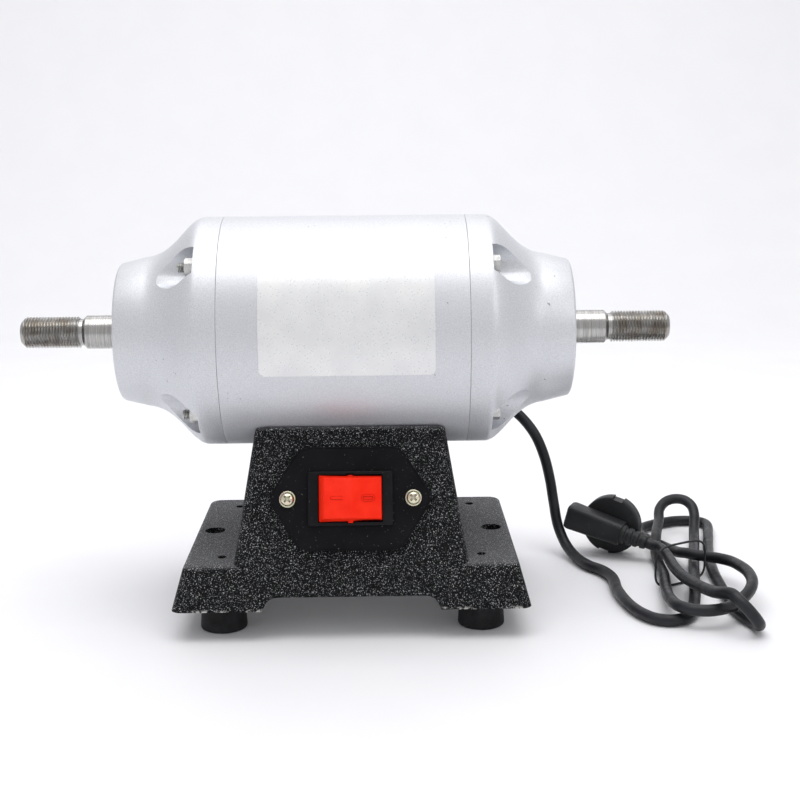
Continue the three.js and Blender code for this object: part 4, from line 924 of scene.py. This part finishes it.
def switch_frame():
    place = switch_place()
    rings = []
    for inset, z in eased(BEZEL_BACK, BEZEL_FACE, BEZEL_EDGE):
        width = BEZEL_WIDTH - 2 * inset
        height = BEZEL_HEIGHT - 2 * inset
        rings.append(rounded_rectangle(width, height, BEZEL_CORNER, z))
    made = lofted("switch_frame", rings, place)
    barrel_depth = BEZEL_BACK + OVERRUN - BARREL_BACK
    barrel_place = place @ moved(0, 0, BARREL_BACK + barrel_depth / 2)
    parts = [box("barrel", (BARREL_WIDTH, BARREL_HEIGHT, barrel_depth), barrel_place)]
    width, depth, length = BLADE_SIZE
    for side in (-1, 0, 1):
        spot = moved(side * BLADE_SPACING, 0, BARREL_BACK - (length - OVERRUN) / 2)
        parts.append(box("blade", (width, depth, length + OVERRUN), place @ spot))
    combine(made, parts, "UNION")
    face = place @ moved(0, 0, BEZEL_FACE)
    slot_depth = 2 * (BEZEL_FACE - PIVOT_HEIGHT + PIVOT_RADIUS + SEAM_GAP)
    slot = (2 * (PIVOT_RADIUS + SEAM_GAP), ROCKER_HEIGHT + 2 * (PIVOT_LENGTH + SEAM_GAP), slot_depth)
    tools = [box("well", (WELL_WIDTH, WELL_HEIGHT, 2 * WELL_DEPTH), face), box("slot", slot, face)]
    return combine(made, tools)


def rocker_outline():
    """The rocker's side view about its pivot: a shallow valley on top and round ends."""
    slope = math.tan(math.radians(ROCKER_TILT))
    top = ROCKER_VALLEY
    for _ in range(2 * FILLET_STEPS):
        top = ROCKER_VALLEY + slope * math.sqrt(ROCKER_END**2 - top**2)
    high = math.asin(top / ROCKER_END)
    low = -math.asin(ROCKER_SKIRT / ROCKER_END)
    end = []
    for i in range(CORNER_STEPS):
        angle = between(low, high, i / CORNER_STEPS)
        end.append((ROCKER_END * math.cos(angle), ROCKER_END * math.sin(angle), 0))
    crest = (ROCKER_END * math.cos(high), ROCKER_END * math.sin(high), ROCKER_EDGE)
    right = [(0, -ROCKER_SKIRT, 0)] + end + [crest]
    left = [(-x, z, fillet) for x, z, fillet in reversed(right)]
    return filleted(right + [(0, ROCKER_VALLEY, 2 * ROCKER_EDGE)] + left[:-1], closed=True)


def rocker_button():
    outline = rocker_outline()
    count = len(outline)
    rings = []
    turns = quarter(FILLET_STEPS)
    levels = [(-1, *turn) for turn in turns] + [(1, *turn) for turn in reversed(turns)]
    for side, grown, reach_share in levels:
        ring = []
        for i, point in enumerate(outline):
            tangent = (outline[(i + 1) % count] - outline[i - 1]).normalized()
            normal = Vector((tangent.y, -tangent.x))
            spot = point - normal * ROCKER_EDGE * (1 - grown)
            draft = ROCKER_DRAFT * max(0, spot.y - DRAFT_START) / ROCKER_VALLEY
            height_share = min(1, max(0, spot.y / ROCKER_VALLEY))
            waist = ROCKER_WAIST * (1 - abs(spot.x) / ROCKER_END) * height_share
            reach = ROCKER_HEIGHT / 2 - draft - waist - ROCKER_EDGE * (1 - reach_share)
            ring.append((spot.x, side * reach, spot.y))
        rings.append(ring)
    pivot = switch_place() @ moved(0, 0, PIVOT_HEIGHT)
    tilt = pivot @ Matrix.Rotation(math.radians(ROCKER_TILT), 4, "Y")
    made = lofted("rocker_button", rings, tilt)
    half = ROCKER_HEIGHT / 2 + PIVOT_LENGTH
    axle = rod("axle", -half, half - PIVOT_LENGTH, PIVOT_RADIUS, SMALL, tilt @ ALONG_Y)
    marks = [bar_mark(tilt @ face_place(-1)), ring_mark(tilt @ face_place(1))]
    return combine(made, [axle, *marks], "UNION")


def face_place(side):
    slope = math.radians(ROCKER_TILT)
    rise = ROCKER_VALLEY + math.tan(slope) * ROCKER_END / 2
    return moved(side * ROCKER_END / 2, 0, rise) @ Matrix.Rotation(-side * slope, 4, "Y")


def mark_rings(width, height, low, high):
    """Rings of a low raised bar with round ends and softened top edges."""
    rings = []
    for inset, z in ((0, low), (0, high - MARK_HEIGHT / 2), (MARK_HEIGHT / 3, high)):
        rings.append(rounded_rectangle(width - 2 * inset, height - 2 * inset, height / 2 - inset, z))
    return rings


def bar_mark(place):
    return lofted("bar", mark_rings(MARK_LENGTH, MARK_WIDTH, -MARK_HEIGHT, MARK_HEIGHT), place)


def ring_mark(place):
    outer = mark_rings(MARK_LENGTH, RING_MARK_HEIGHT, -MARK_HEIGHT, MARK_HEIGHT)
    made = lofted("ring", outer, place)
    line = 2 * RING_MARK_LINE
    hole = mark_rings(MARK_LENGTH - line, RING_MARK_HEIGHT - line, -2 * MARK_HEIGHT, 2 * MARK_HEIGHT)
    return combine(made, [lofted("hole", hole, place)])


def grooved(start, end, root, tip, grooves, depth):
    """Corners of a tapering sleeve with rounded grooves."""
    pitch = (end - start) / (grooves + 1)
    corners = []
    for i in range(1, grooves + 1):
        near = start + pitch * (i - GROOVE_SHARE / 2)
        far = start + pitch * (i + GROOVE_SHARE / 2)
        edge = pitch * GROOVE_SHARE / 4
        for along, sunk in ((near, 0), (near, depth), (far, depth), (far, 0)):
            radius = between(root, tip, (along - start) / (end - start)) - sunk
            corners.append((along, radius, edge))
    return corners + [(end, tip, tip / 4)]


def cord_sleeve():
    corners = [
        (-RELIEF_INNER, CORD_RADIUS, 0),
        (-RELIEF_INNER, RELIEF_ROOT, SEAM_GAP),
        (SEAM_GAP, RELIEF_ROOT, 0),
        (SEAM_GAP, RELIEF_FLANGE_RADIUS, SEAM_GAP),
        (SEAM_GAP + RELIEF_FLANGE, RELIEF_FLANGE_RADIUS, 2 * SEAM_GAP),
        (SEAM_GAP + RELIEF_FLANGE, RELIEF_ROOT, SEAM_GAP),
    ]
    end = SEAM_GAP + RELIEF_FLANGE + RELIEF_SLEEVE
    start = SEAM_GAP + RELIEF_FLANGE
    corners += grooved(start, end, RELIEF_ROOT, RELIEF_TIP, RELIEF_GROOVES, GROOVE_DEPTH)
    corners.append((end, CORD_RADIUS, 0))
    place = relief_place() @ ALONG_Z
    return turned("cord_sleeve", filleted(corners), ROUND, place)


def cord_handles(points):
    """Bezier handles of the smooth curve through the points, spaced by the root of their distance."""
    ends = [2 * points[0] - points[1]] + points + [2 * points[-1] - points[-2]]
    spans = [math.sqrt((ends[i + 1] - ends[i]).length) for i in range(len(ends) - 1)]
    handles = []
    for i in range(1, len(ends) - 1):
        before, after = spans[i - 1], spans[i]
        arrive = (ends[i] - ends[i - 1]) / before
        leave = (ends[i + 1] - ends[i]) / after
        across = (ends[i + 1] - ends[i - 1]) / (before + after)
        tangent = arrive - across + leave
        handles.append((ends[i] - tangent * before / 3, ends[i] + tangent * after / 3))
    return handles


def round_curve(name, radius, steps):
    """A curve as thick as a radius in millimetres."""
    curve = bpy.data.curves.new(name, "CURVE")
    curve.dimensions = "3D"
    curve.bevel_depth = radius * MM
    curve.bevel_resolution = steps
    return curve


def mains_cord():
    points = [Vector(p) * MM for p in FREE_ROUTE + HANK_ROUTE]
    curve = round_curve("mains_cord", CORD_RADIUS, CORNER_STEPS)
    curve.resolution_u = CORNER_STEPS
    curve.use_fill_caps = True
    spline = curve.splines.new("BEZIER")
    spline.bezier_points.add(len(points) - 1)
    for knot, point, (left, right) in zip(spline.bezier_points, points, cord_handles(points)):
        knot.co = point
        knot.handle_left_type = "FREE"
        knot.handle_right_type = "FREE"
        knot.handle_left = left
        knot.handle_right = right
    return new_object("mains_cord", curve)


def tie():
    def bulged(value):
        return math.copysign(abs(value) ** TIE_POWER, value)

    place = Matrix.Translation(TIE_PLACE) @ Matrix.Rotation(math.radians(TIE_TURN), 4, "Z")
    curve = round_curve("twist_tie", TIE_RADIUS, FILLET_STEPS)
    spline = curve.splines.new("POLY")
    spline.points.add(TIE_STEPS - 1)
    for i, knot in enumerate(spline.points):
        angle = 2 * math.pi * i / TIE_STEPS
        x = TIE_WIDTH / 2 * bulged(math.cos(angle))
        z = TIE_HEIGHT / 2 * bulged(math.sin(angle))
        knot.co = (*(place @ Vector((x, 0, z)) * MM), 1)
    spline.use_cyclic_u = True
    return new_object("twist_tie", curve)


def plug_place():
    """X along the grip to its sleeve, Y along the pins, Z across the grip."""
    turn = math.radians(PLUG_TURN)
    tilt = math.radians(GRIP_TILT)
    rotation = Matrix.Rotation(-turn, 4, "Z") @ Matrix.Rotation(tilt, 4, "Y")
    along = rotation @ Vector((1, 0, 0))
    away = rotation @ Vector((0, 1, 0))
    middle = Vector(HANK_ROUTE[-1]) - along * (GRIP_FRONT + SLEEVE_LENGTH + PLUG_GAP)
    middle += away * (DISC_THICKNESS + GRIP_DEPTH) / 2
    return Matrix.Translation(middle) @ rotation


def pin_place(side):
    return plug_place() @ moved(side * PIN_SPACING / 2, 0, 0) @ ALONG_Y


def plug():
    place = plug_place()
    half = DISC_THICKNESS / 2
    corners = [(-half, DISC_RADIUS, DISC_ROUND), (half, DISC_RADIUS, DISC_ROUND)]
    made = solid_piece("plug", corners, place @ ALONG_Y, FINE)
    notches = []
    for side in (-1, 1):
        spot = place @ moved(0, 0, side * DISC_RADIUS)
        notches.append(box("notch", (NOTCH_WIDTH, 2 * DISC_THICKNESS, 2 * NOTCH_DEPTH), spot))
    combine(made, notches)
    lower = place @ moved(0, -(DISC_THICKNESS + GRIP_DEPTH) / 2, 0)
    combine(made, [grip(lower), plug_sleeve(lower), plug_web(lower)], "UNION")
    pins = []
    for side in (-1, 1):
        radius = PIN_RADIUS + PLUG_GAP
        pins.append(rod("socket", half - PIN_SOCKET, half + OVERRUN, radius, SMALL, pin_place(side)))
    return combine(made, pins)


def grip(place):
    """The grip from its rounded free end to the root of the sleeve."""
    levels = []
    for out, left in reversed(quarter(FILLET_STEPS)):
        levels.append((-GRIP_BACK + GRIP_ROUND * (1 - out), GRIP_WIDTH, GRIP_ROUND * (1 - left)))
    levels.append((GRIP_FRONT, GRIP_END_WIDTH, 0))
    rings = []
    for x, width, shrink in levels:
        section = rounded_rectangle(width - shrink, GRIP_DEPTH - shrink, GRIP_ROUND - shrink / 2, 0)
        rings.append([(x, p[1], p[0]) for p in section])
    return lofted("grip", rings, place)


def plug_sleeve(place):
    start = GRIP_FRONT - OVERRUN
    end = GRIP_FRONT + SLEEVE_LENGTH
    corners = [(start, FACE_START, 0), (start, SLEEVE_ROOT, 0)]
    corners += grooved(start, end, SLEEVE_ROOT, SLEEVE_TIP, SLEEVE_GROOVES, SLEEVE_GROOVE_DEPTH)
    corners.append((end, CORD_RADIUS, 0))
    return turned("sleeve", filleted(corners), ROUND, place)


def plug_web(place):
    """Fills between the grip and the disc's face."""
    length = GRIP_BACK + GRIP_FRONT - 2 * GRIP_ROUND
    start = moved((GRIP_FRONT - GRIP_BACK) / 2, GRIP_DEPTH / 2, 0)
    return box("web", (length, OVERRUN + DISC_ROUND, GRIP_END_WIDTH - GRIP_ROUND), place @ start)


def plug_pin(name, side):
    start = DISC_THICKNESS / 2 - PIN_SOCKET + PLUG_GAP
    tip = DISC_THICKNESS / 2 + PIN_LENGTH
    corners = [(start, PIN_RADIUS, 0), (tip, PIN_RADIUS, PIN_ROUND)]
    return solid_piece(name, corners, pin_place(side), SMALL)


class Surface:
    """A node material with a principled shader and short helpers for the nodes that feed it."""

    def __init__(self, name, color, roughness, metallic=0, gloss=0.5):
        self.material = bpy.data.materials.new(name)
        self.material.use_nodes = True
        self.material.diffuse_color = (*color, 1)
        self.nodes = self.material.node_tree.nodes
        self.shader = self.nodes["Principled BSDF"]
        self.place = self.nodes.new("ShaderNodeTexCoord").outputs["Object"]
        self.feed(self.shader, {"Base Color": (*color, 1), "Roughness": roughness})
        self.feed(self.shader, {"Metallic": metallic, "Specular IOR Level": gloss})

    def feed(self, node, inputs):
        """Sets inputs of a node, each to a value or to the output of another node."""
        for name, value in inputs.items():
            if isinstance(value, bpy.types.NodeSocket):
                self.material.node_tree.links.new(value, node.inputs[name])
            else:
                node.inputs[name].default_value = value

    def node(self, kind, inputs):
        made = self.nodes.new(kind)
        self.feed(made, inputs)
        return made

    def stretched(self, scale):
        """The object's own place, squeezed along its axes."""
        return self.node("ShaderNodeMapping", {"Vector": self.place, "Scale": scale}).outputs["Vector"]

    def noise(self, grain, detail=2, rough=0.5, place=None):
        """Noise whose grain is about this many millimetres."""
        inputs = {"Vector": place or self.place, "Scale": 1 / (grain * MM)}
        inputs.update({"Detail": detail, "Roughness": rough})
        return self.node("ShaderNodeTexNoise", inputs).outputs["Fac"]

    def cells(self, grain):
        """The distance to the middle of the nearest of cells that are about this many millimetres."""
        inputs = {"Vector": self.place, "Scale": 1 / (grain * MM)}
        return self.node("ShaderNodeTexVoronoi", inputs).outputs["Distance"]

    def mapped(self, value, low, high, start=0, end=1):
        """A value's range low to high, stretched to start to end and held there."""
        inputs = {"Value": value, "From Min": low, "From Max": high, "To Min": start, "To Max": end}
        return self.node("ShaderNodeMapRange", inputs).outputs["Result"]

    def patches(self, grain, low, high):
        """Patches of about this many millimetres; the higher low is, the fewer they are."""
        return self.mapped(self.noise(grain, 2, 0.6), low, high)

    def calculated(self, operation, a, b=0):
        made = self.node("ShaderNodeMath", {0: a, 1: b})
        made.operation = operation
        return made.outputs["Value"]

    def product(self, first, *others):
        for other in others:
            first = self.calculated("MULTIPLY", first, other)
        return first

    def part_of(self, vector, axis):
        return self.node("ShaderNodeSeparateXYZ", {"Vector": vector}).outputs[axis]

    def facing_up(self):
        """How far the surface faces up, from -1 to 1."""
        return self.part_of(self.nodes.new("ShaderNodeNewGeometry").outputs["True Normal"], "Z")

    def open_share(self, reach):
        """How open the surface is within a reach in millimetres: 0 in a corner, 1 in the open."""
        return self.node("ShaderNodeAmbientOcclusion", {"Distance": reach * MM}).outputs["AO"]

    def mixed(self, share, a, b):
        """A colour between a and b; each is a colour or the output of a node."""
        made = self.nodes.new("ShaderNodeMix")
        made.data_type = "RGBA"
        first, second = ((*tone, 1) if isinstance(tone, tuple) else tone for tone in (a, b))
        self.feed(made, {"Factor": share, 6: first, 7: second})
        return made.outputs[2]

    def drift(self, noise, a, b, low=0.35, high=0.7):
        """A colour that drifts from a to b as a noise goes from low to high."""
        return self.mixed(self.mapped(noise, low, high), a, b)

    def color(self, source):
        self.feed(self.shader, {"Base Color": source})

    def roughness(self, noise, dull, bright):
        """Roughness that goes from dull to bright with a noise."""
        self.feed(self.shader, {"Roughness": self.mapped(noise, *NOISE_RANGE, dull, bright)})

    def bump(self, height, rise):
        """Raises the surface by a height from 0 to 1 times a rise in millimetres."""
        inputs = {"Height": height, "Distance": rise * MM, "Strength": 1}
        normal = self.shader.inputs["Normal"]
        if normal.is_linked:
            inputs["Normal"] = normal.links[0].from_socket
        bumped = self.node("ShaderNodeBump", inputs)
        self.feed(self.shader, {"Normal": bumped.outputs["Normal"]})


def silver_paint():
    """Fine-grained sprayed silver with small scuffs."""
    skin = Surface("silver_paint", (0.66, 0.67, 0.70), 0.42, 0.55)
    speckle = skin.noise(SPECKLE_GRAIN, 3, 0.7)
    tone = skin.drift(speckle, (0.56, 0.57, 0.60), (0.75, 0.76, 0.79), 0.3)
    cloud = skin.mapped(skin.noise(SILVER_CLOUD), 0.35, 0.7)
    tone = skin.mixed(skin.mapped(cloud, 0, 1, 0, 0.12), tone, (0.52, 0.53, 0.56))
    scuff = skin.product(skin.patches(SCUFF_GRAIN, 0.70, 0.73), skin.patches(SCUFFED_AREA, 0.55, 0.6))
    skin.color(skin.mixed(scuff, tone, (0.25, 0.25, 0.27)))
    skin.roughness(speckle, 0.5, 0.36)
    skin.bump(speckle, SPECKLE_RISE)
    skin.bump(skin.noise(SILVER_WAVE, 1), SILVER_WAVE_RISE)
    return skin.material


def black_paint():
    """Wrinkle paint with painted light, greyer on what faces up and with bright painted glints, and
    chipped along the lower edge.
    """
    skin = Surface("black_paint", (0.012, 0.013, 0.014), 0.45, gloss=0.08)
    lumps = skin.noise(LUMP_GRAIN, 3, 0.65)
    grains_and_glints = skin.noise(GLINT_GRAIN, 1)
    tone = skin.drift(lumps, (0.002, 0.0023, 0.0025), (0.009, 0.01, 0.011))
    # painted light: what faces up is mixed towards a paler grey, a painted reflection of the light above
    tone = skin.mixed(skin.mapped(skin.facing_up(), 0.6, 0.9), tone, (0.075, 0.076, 0.08))
    # painted glints: bright specks in the colour, fuller on what faces up; the same noise also bumps the
    # paint
    painted_glint = skin.product(skin.mapped(grains_and_glints, 0.61, 0.68), skin.mapped(lumps, 0.3, 0.62, 0.15, 1))
    painted_glint = skin.product(painted_glint, skin.mapped(skin.facing_up(), 0.15, 0.6, 0.42, 1))
    tone = skin.mixed(painted_glint, tone, (0.8, 0.81, 0.82))
    height = skin.part_of(skin.place, "Z")
    low = skin.mapped(height, (SKIRT_BOTTOM + CHIP_HEIGHT) * MM, SKIRT_BOTTOM * MM)
    chip = skin.product(low, skin.patches(CHIPPED_AREA, 0.53, 0.57), skin.patches(CHIP_GRAIN, 0.42, 0.5))
    skin.color(skin.mixed(chip, tone, (0.55, 0.54, 0.52)))
    skin.roughness(lumps, 0.62, 0.4)
    skin.bump(lumps, LUMP_RISE)
    skin.bump(skin.cells(PIT_GRAIN), PIT_RISE)
    skin.bump(grains_and_glints, GLINT_RISE)
    return skin.material


def satin_black(name, tone, roughness, dust=0, gloss=0.07):
    """Smooth black with a fine grain and a little dust."""
    skin = Surface(name, tone, roughness, gloss=gloss)
    grain = skin.noise(SATIN_GRAIN, 2, 0.6)
    brighter = tuple(channel * SATIN_LIFT for channel in tone)
    clouded = skin.drift(skin.noise(SATIN_CLOUD), tone, brighter)
    specks = skin.product(skin.patches(DUST_GRAIN, 0.7, 0.73), dust)
    skin.color(skin.mixed(specks, clouded, (0.35, 0.35, 0.34)))
    skin.roughness(grain, roughness + 0.08, roughness - 0.06)
    skin.bump(grain, SATIN_RISE)
    return skin.material


def red_plastic():
    """Smooth red with painted shade that darkens its corners."""
    skin = Surface("red_plastic", (0.95, 0.02, 0.005), 0.32, gloss=0.14)
    tone = skin.drift(skin.noise(RED_CLOUD), (0.93, 0.018, 0.003), (1, 0.028, 0.008), 0.3)
    # painted shade: corners and the edges of the marks are darkened in the colour
    unshaded_share = skin.mapped(skin.open_share(RED_SHADE_REACH), 0.35, 0.95)
    skin.color(skin.mixed(unshaded_share, (0.25, 0.006, 0.003), tone))
    skin.roughness(skin.noise(RED_SHEEN, 3), 0.4, 0.27)
    skin.bump(skin.noise(RED_WAVE, 1), RED_WAVE_RISE)
    return skin.material


def bright_steel():
    """Ground steel with fine rings round the shaft and a brown stain on its threads."""
    skin = Surface("bright_steel", (0.55, 0.53, 0.50), 0.24, 1)
    rings = skin.noise(RING_GRAIN, 2, 0.6, skin.stretched((1, 0.02, 0.02)))
    tone = skin.drift(rings, (0.30, 0.295, 0.285), (0.55, 0.54, 0.525), 0.3)
    out = skin.calculated("ABSOLUTE", skin.part_of(skin.place, "X"))
    thread_start = SHAFT_END - THREAD_LENGTH
    threads = skin.mapped(out, thread_start * MM, (thread_start + STAIN_FADE) * MM)
    stain = skin.product(threads, skin.patches(STAIN_GRAIN, 0.42, 0.62), 0.4)
    skin.color(skin.mixed(stain, tone, (0.20, 0.15, 0.09)))
    skin.roughness(rings, 0.32, 0.18)
    skin.bump(rings, RING_RISE)
    return skin.material


def plated(name, light, dark, roughness=0.3):
    """Bright plating whose colour drifts between two tones, with painted shade in its corners and
    recesses.
    """
    skin = Surface(name, light, roughness, 1)
    tone = skin.drift(skin.noise(PLATING_CLOUD), light, dark, 0.35, 0.65)
    # painted shade: the colour darkens where the surface is closed in, in corners and recesses
    painted_shade = tuple(channel * CORNER_SHADE_SHARE for channel in dark)
    skin.color(skin.mixed(skin.mapped(skin.open_share(CORNER_SHADE_REACH), 0.3, 0.85), painted_shade, tone))
    skin.roughness(skin.noise(PLATING_SHEEN), roughness + 0.1, roughness - 0.07)
    skin.bump(skin.noise(PLATING_GRAIN), PLATING_RISE)
    return skin.material


def laminations():
    """Stacked sheets of core steel, edge on along the shaft."""
    skin = Surface("core_steel", (0.16, 0.165, 0.175), 0.5, 0.9)
    sheets = skin.noise(SHEET_GRAIN, 0, 0.5, skin.stretched((1, 0.001, 0.001)))
    skin.color(skin.drift(sheets, (0.09, 0.09, 0.1), (0.22, 0.225, 0.235), 0.35, 0.65))
    skin.bump(sheets, SHEET_RISE)
    return skin.material


def enamelled_wire():
    """Bundles of copper wire round the motor's axis."""
    skin = Surface("copper_wire", (0.45, 0.16, 0.06), 0.35, 0.6)
    strands = skin.noise(WIRE_GRAIN, 0, 0.5, skin.stretched((1, 0.05, 0.05)))
    skin.color(skin.drift(strands, (0.30, 0.09, 0.03), (0.62, 0.26, 0.10), 0.35, 0.65))
    skin.bump(strands, WIRE_RISE)
    return skin.material


def rubber():
    """Dull black rubber with a coarse grain."""
    skin = Surface("black_rubber", (0.018, 0.018, 0.019), 0.7, gloss=0.2)
    grain = skin.noise(RUBBER_GRAIN, 3, 0.65)
    skin.color(skin.drift(skin.noise(RUBBER_CLOUD, 3), (0.009, 0.009, 0.01), (0.024, 0.024, 0.026)))
    skin.roughness(grain, 0.8, 0.55)
    skin.bump(grain, RUBBER_RISE)
    return skin.material


def sheath():
    """The lead's smooth sheath with faint waves."""
    skin = Surface("cord_sheath", (0.012, 0.013, 0.015), 0.36, gloss=0.3)
    cloud = skin.noise(SHEATH_CLOUD, 3)
    skin.color(skin.drift(cloud, (0.008, 0.009, 0.011), (0.021, 0.022, 0.026), 0.4))
    skin.roughness(skin.noise(SHEATH_SHEEN, 3), 0.5, 0.32)
    skin.bump(skin.noise(SHEATH_WAVE), SHEATH_WAVE_RISE)
    return skin.material


def label_foil():
    """A bare satin foil."""
    skin = Surface("label_foil", (0.80, 0.80, 0.80), 0.3, 0.35)
    skin.color(skin.drift(skin.noise(FOIL_CLOUD), (0.76, 0.765, 0.77), (0.84, 0.84, 0.835)))
    skin.roughness(skin.noise(FOIL_SHEEN), 0.36, 0.26)
    skin.bump(skin.noise(FOIL_WAVE, 1), FOIL_WAVE_RISE)
    return skin.material


def white_plastic():
    """Plain off-white plastic."""
    skin = Surface("white_plastic", (0.75, 0.74, 0.70), 0.45)
    skin.color(skin.drift(skin.noise(WHITE_CLOUD), (0.68, 0.67, 0.63), (0.8, 0.79, 0.76)))
    skin.bump(skin.noise(WHITE_GRAIN), WHITE_RISE)
    return skin.material


def table_top():
    """Plain pale floor and wall in one sweep."""
    skin = Surface("table_top", (0.86, 0.86, 0.88), 0.6)
    skin.color(skin.drift(skin.noise(TABLE_CLOUD), (0.855, 0.855, 0.875), (0.87, 0.87, 0.885), 0.3))
    return skin.material


make_camera()

sheath_finish = sheath()
rubber_finish = rubber()
paint = silver_paint()
casting_paint = black_paint()
steel = bright_steel()
zinc = plated("zinc", (0.66, 0.66, 0.64), (0.50, 0.50, 0.49))
yellow_zinc = plated("yellow_zinc", (0.72, 0.74, 0.52), (0.74, 0.60, 0.50), 0.24)
brass = plated("brass", (0.66, 0.48, 0.20), (0.55, 0.38, 0.15), 0.25)
aluminium = plated("cast_aluminium", (0.48, 0.49, 0.50), (0.36, 0.37, 0.38), 0.45)
stained_steel = plated("stained_steel", (0.16, 0.15, 0.15), (0.08, 0.08, 0.08), 0.4)
coppered_steel = plated("coppered_steel", (0.56, 0.30, 0.18), (0.40, 0.20, 0.12))
frame_plastic = satin_black("frame_plastic", (0.007, 0.007, 0.008), 0.35, 0.2, 0.12)
plate_paint = satin_black("plate_paint", (0.006, 0.006, 0.007), 0.42, 0.4)
plug_plastic = satin_black("plug_plastic", (0.014, 0.015, 0.016), 0.45, 0.3, 0.35)

plug_piece = dress(plug(), plug_plastic, "black_plastic", "plug_body")
for name, side in SIDES:
    dress(plug_pin(f"pin_{name}", side), brass, "brass", f"plug_pin_{name}")
tie_piece = dress(tie(), plug_plastic, "black_plastic", "cord_tie")
dress(cord_sleeve(), rubber_finish, "black_rubber", "cord_relief")
cord = dress(mains_cord(), sheath_finish, "cord_sheath", "cord_free", "cord_hank")

dress(motor_tube(), paint, "silver_paint", "motor_shell")
for name, side in SIDES:
    dress(bell(f"bell_{name}", side), paint, "silver_paint", f"end_bell_{name}")
    dress(hub_cap(f"hub_cap_{name}", side), zinc, "zinc", f"dust_cap_{name}")
for name, angle in BOLT_ANGLES:
    dress(through_bolt(f"bolt_{name}", angle), zinc, "zinc", f"through_bolt_{name}")
    dress(bolt_nut(f"nut_{name}", angle), zinc, "zinc", f"bolt_nut_{name}")
dress(spindle(), steel, "bright_steel", "shaft", body="rotor")
dress(label(), label_foil(), "label_foil", "label_plate")

dress(casting(), casting_paint, "black_paint", "base_casting")
for name, x, y in foot_places():
    dress(foot(f"rubber_foot_{name}", x, y), rubber_finish, "black_rubber", f"foot_{name}")
dress(switch_plate(), plate_paint, "black_paint", "switch_plate")
dress(switch_frame(), frame_plastic, "black_plastic", "switch_body")
for name, side in SIDES:
    dress(cup_washer(f"cup_{name}", side), yellow_zinc, "yellow_zinc", f"cup_washer_{name}")
    dress(plate_screw(f"screw_{name}", side), yellow_zinc, "yellow_zinc", f"plate_screw_{name}")
dress(rocker_button(), red_plastic(), "red_plastic", "rocker", body="rocker_body")

# CAD nodes that stay, inside the housing and under the base
KEPT = (
    (laminations(), ("stator_core",)),
    (aluminium, ("rotor_core", "capacitor")),
    (enamelled_wire(), ("winding_left", "winding_right")),
    (steel, ("bearing_outer_left", "bearing_outer_right", "bearing_inner_left", "bearing_inner_right")),
    (steel, ("bearing_balls_left", "bearing_balls_right")),
    (zinc, ("wave_washer", "shim_ring", "motor_screw_left", "motor_screw_right", "bottom_cover")),
    (zinc, ("capacitor_clamp", "clamp_screw")),
    (stained_steel, ("foot_screw_front_right",)),
    (coppered_steel, ("foot_screw_back_left",)),
    (brass, ("foot_screw_front_left", "foot_screw_back_right")),
    (rubber_finish, ("lead_grommet",)),
    (sheath_finish, ("motor_lead",)),
    (white_plastic(), ("terminal_block",)),
)
for material, names in KEPT:
    for name in names:
        coated(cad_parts[name], material)


def sweep():
    """The floor, a round bend and the wall behind, as one sheet."""
    profile = [(SWEEP_FRONT, 0)]
    for out, left in quarter(ROUND):
        profile.append((SWEEP_BEND + SWEEP_RADIUS * out, SWEEP_RADIUS * (1 - left)))
    profile.append((SWEEP_BEND + SWEEP_RADIUS, SWEEP_HEIGHT))
    points = [(x, y, z) for y, z in profile for x in (-SWEEP_WIDTH / 2, SWEEP_WIDTH / 2)]
    faces = [(2 * i, 2 * i + 1, 2 * i + 3, 2 * i + 2) for i in range(len(profile) - 1)]
    return coated(mesh_object("sweep", points, faces, Matrix()), table_top())


sweep()


def softbox(name, place, aim, size, energy):
    lamp = bpy.data.lights.new(name, "AREA")
    lamp.shape = "RECTANGLE"
    lamp.size, lamp.size_y = (s * MM for s in size)
    lamp.energy = energy
    made = new_object(name, lamp)
    made.location = Vector(place) * MM
    made.rotation_euler = (Vector(aim) - Vector(place)).to_track_quat("-Z", "Y").to_euler()


for light in LIGHTS:
    softbox(*light)

world = bpy.data.worlds.new("studio")
world.use_nodes = True
world.node_tree.nodes["Background"].inputs["Color"].default_value = WORLD_COLOR
world.node_tree.nodes["Background"].inputs["Strength"].default_value = WORLD_STRENGTH
bpy.context.scene.world = world
bpy.context.scene.view_settings.view_transform = "Standard"
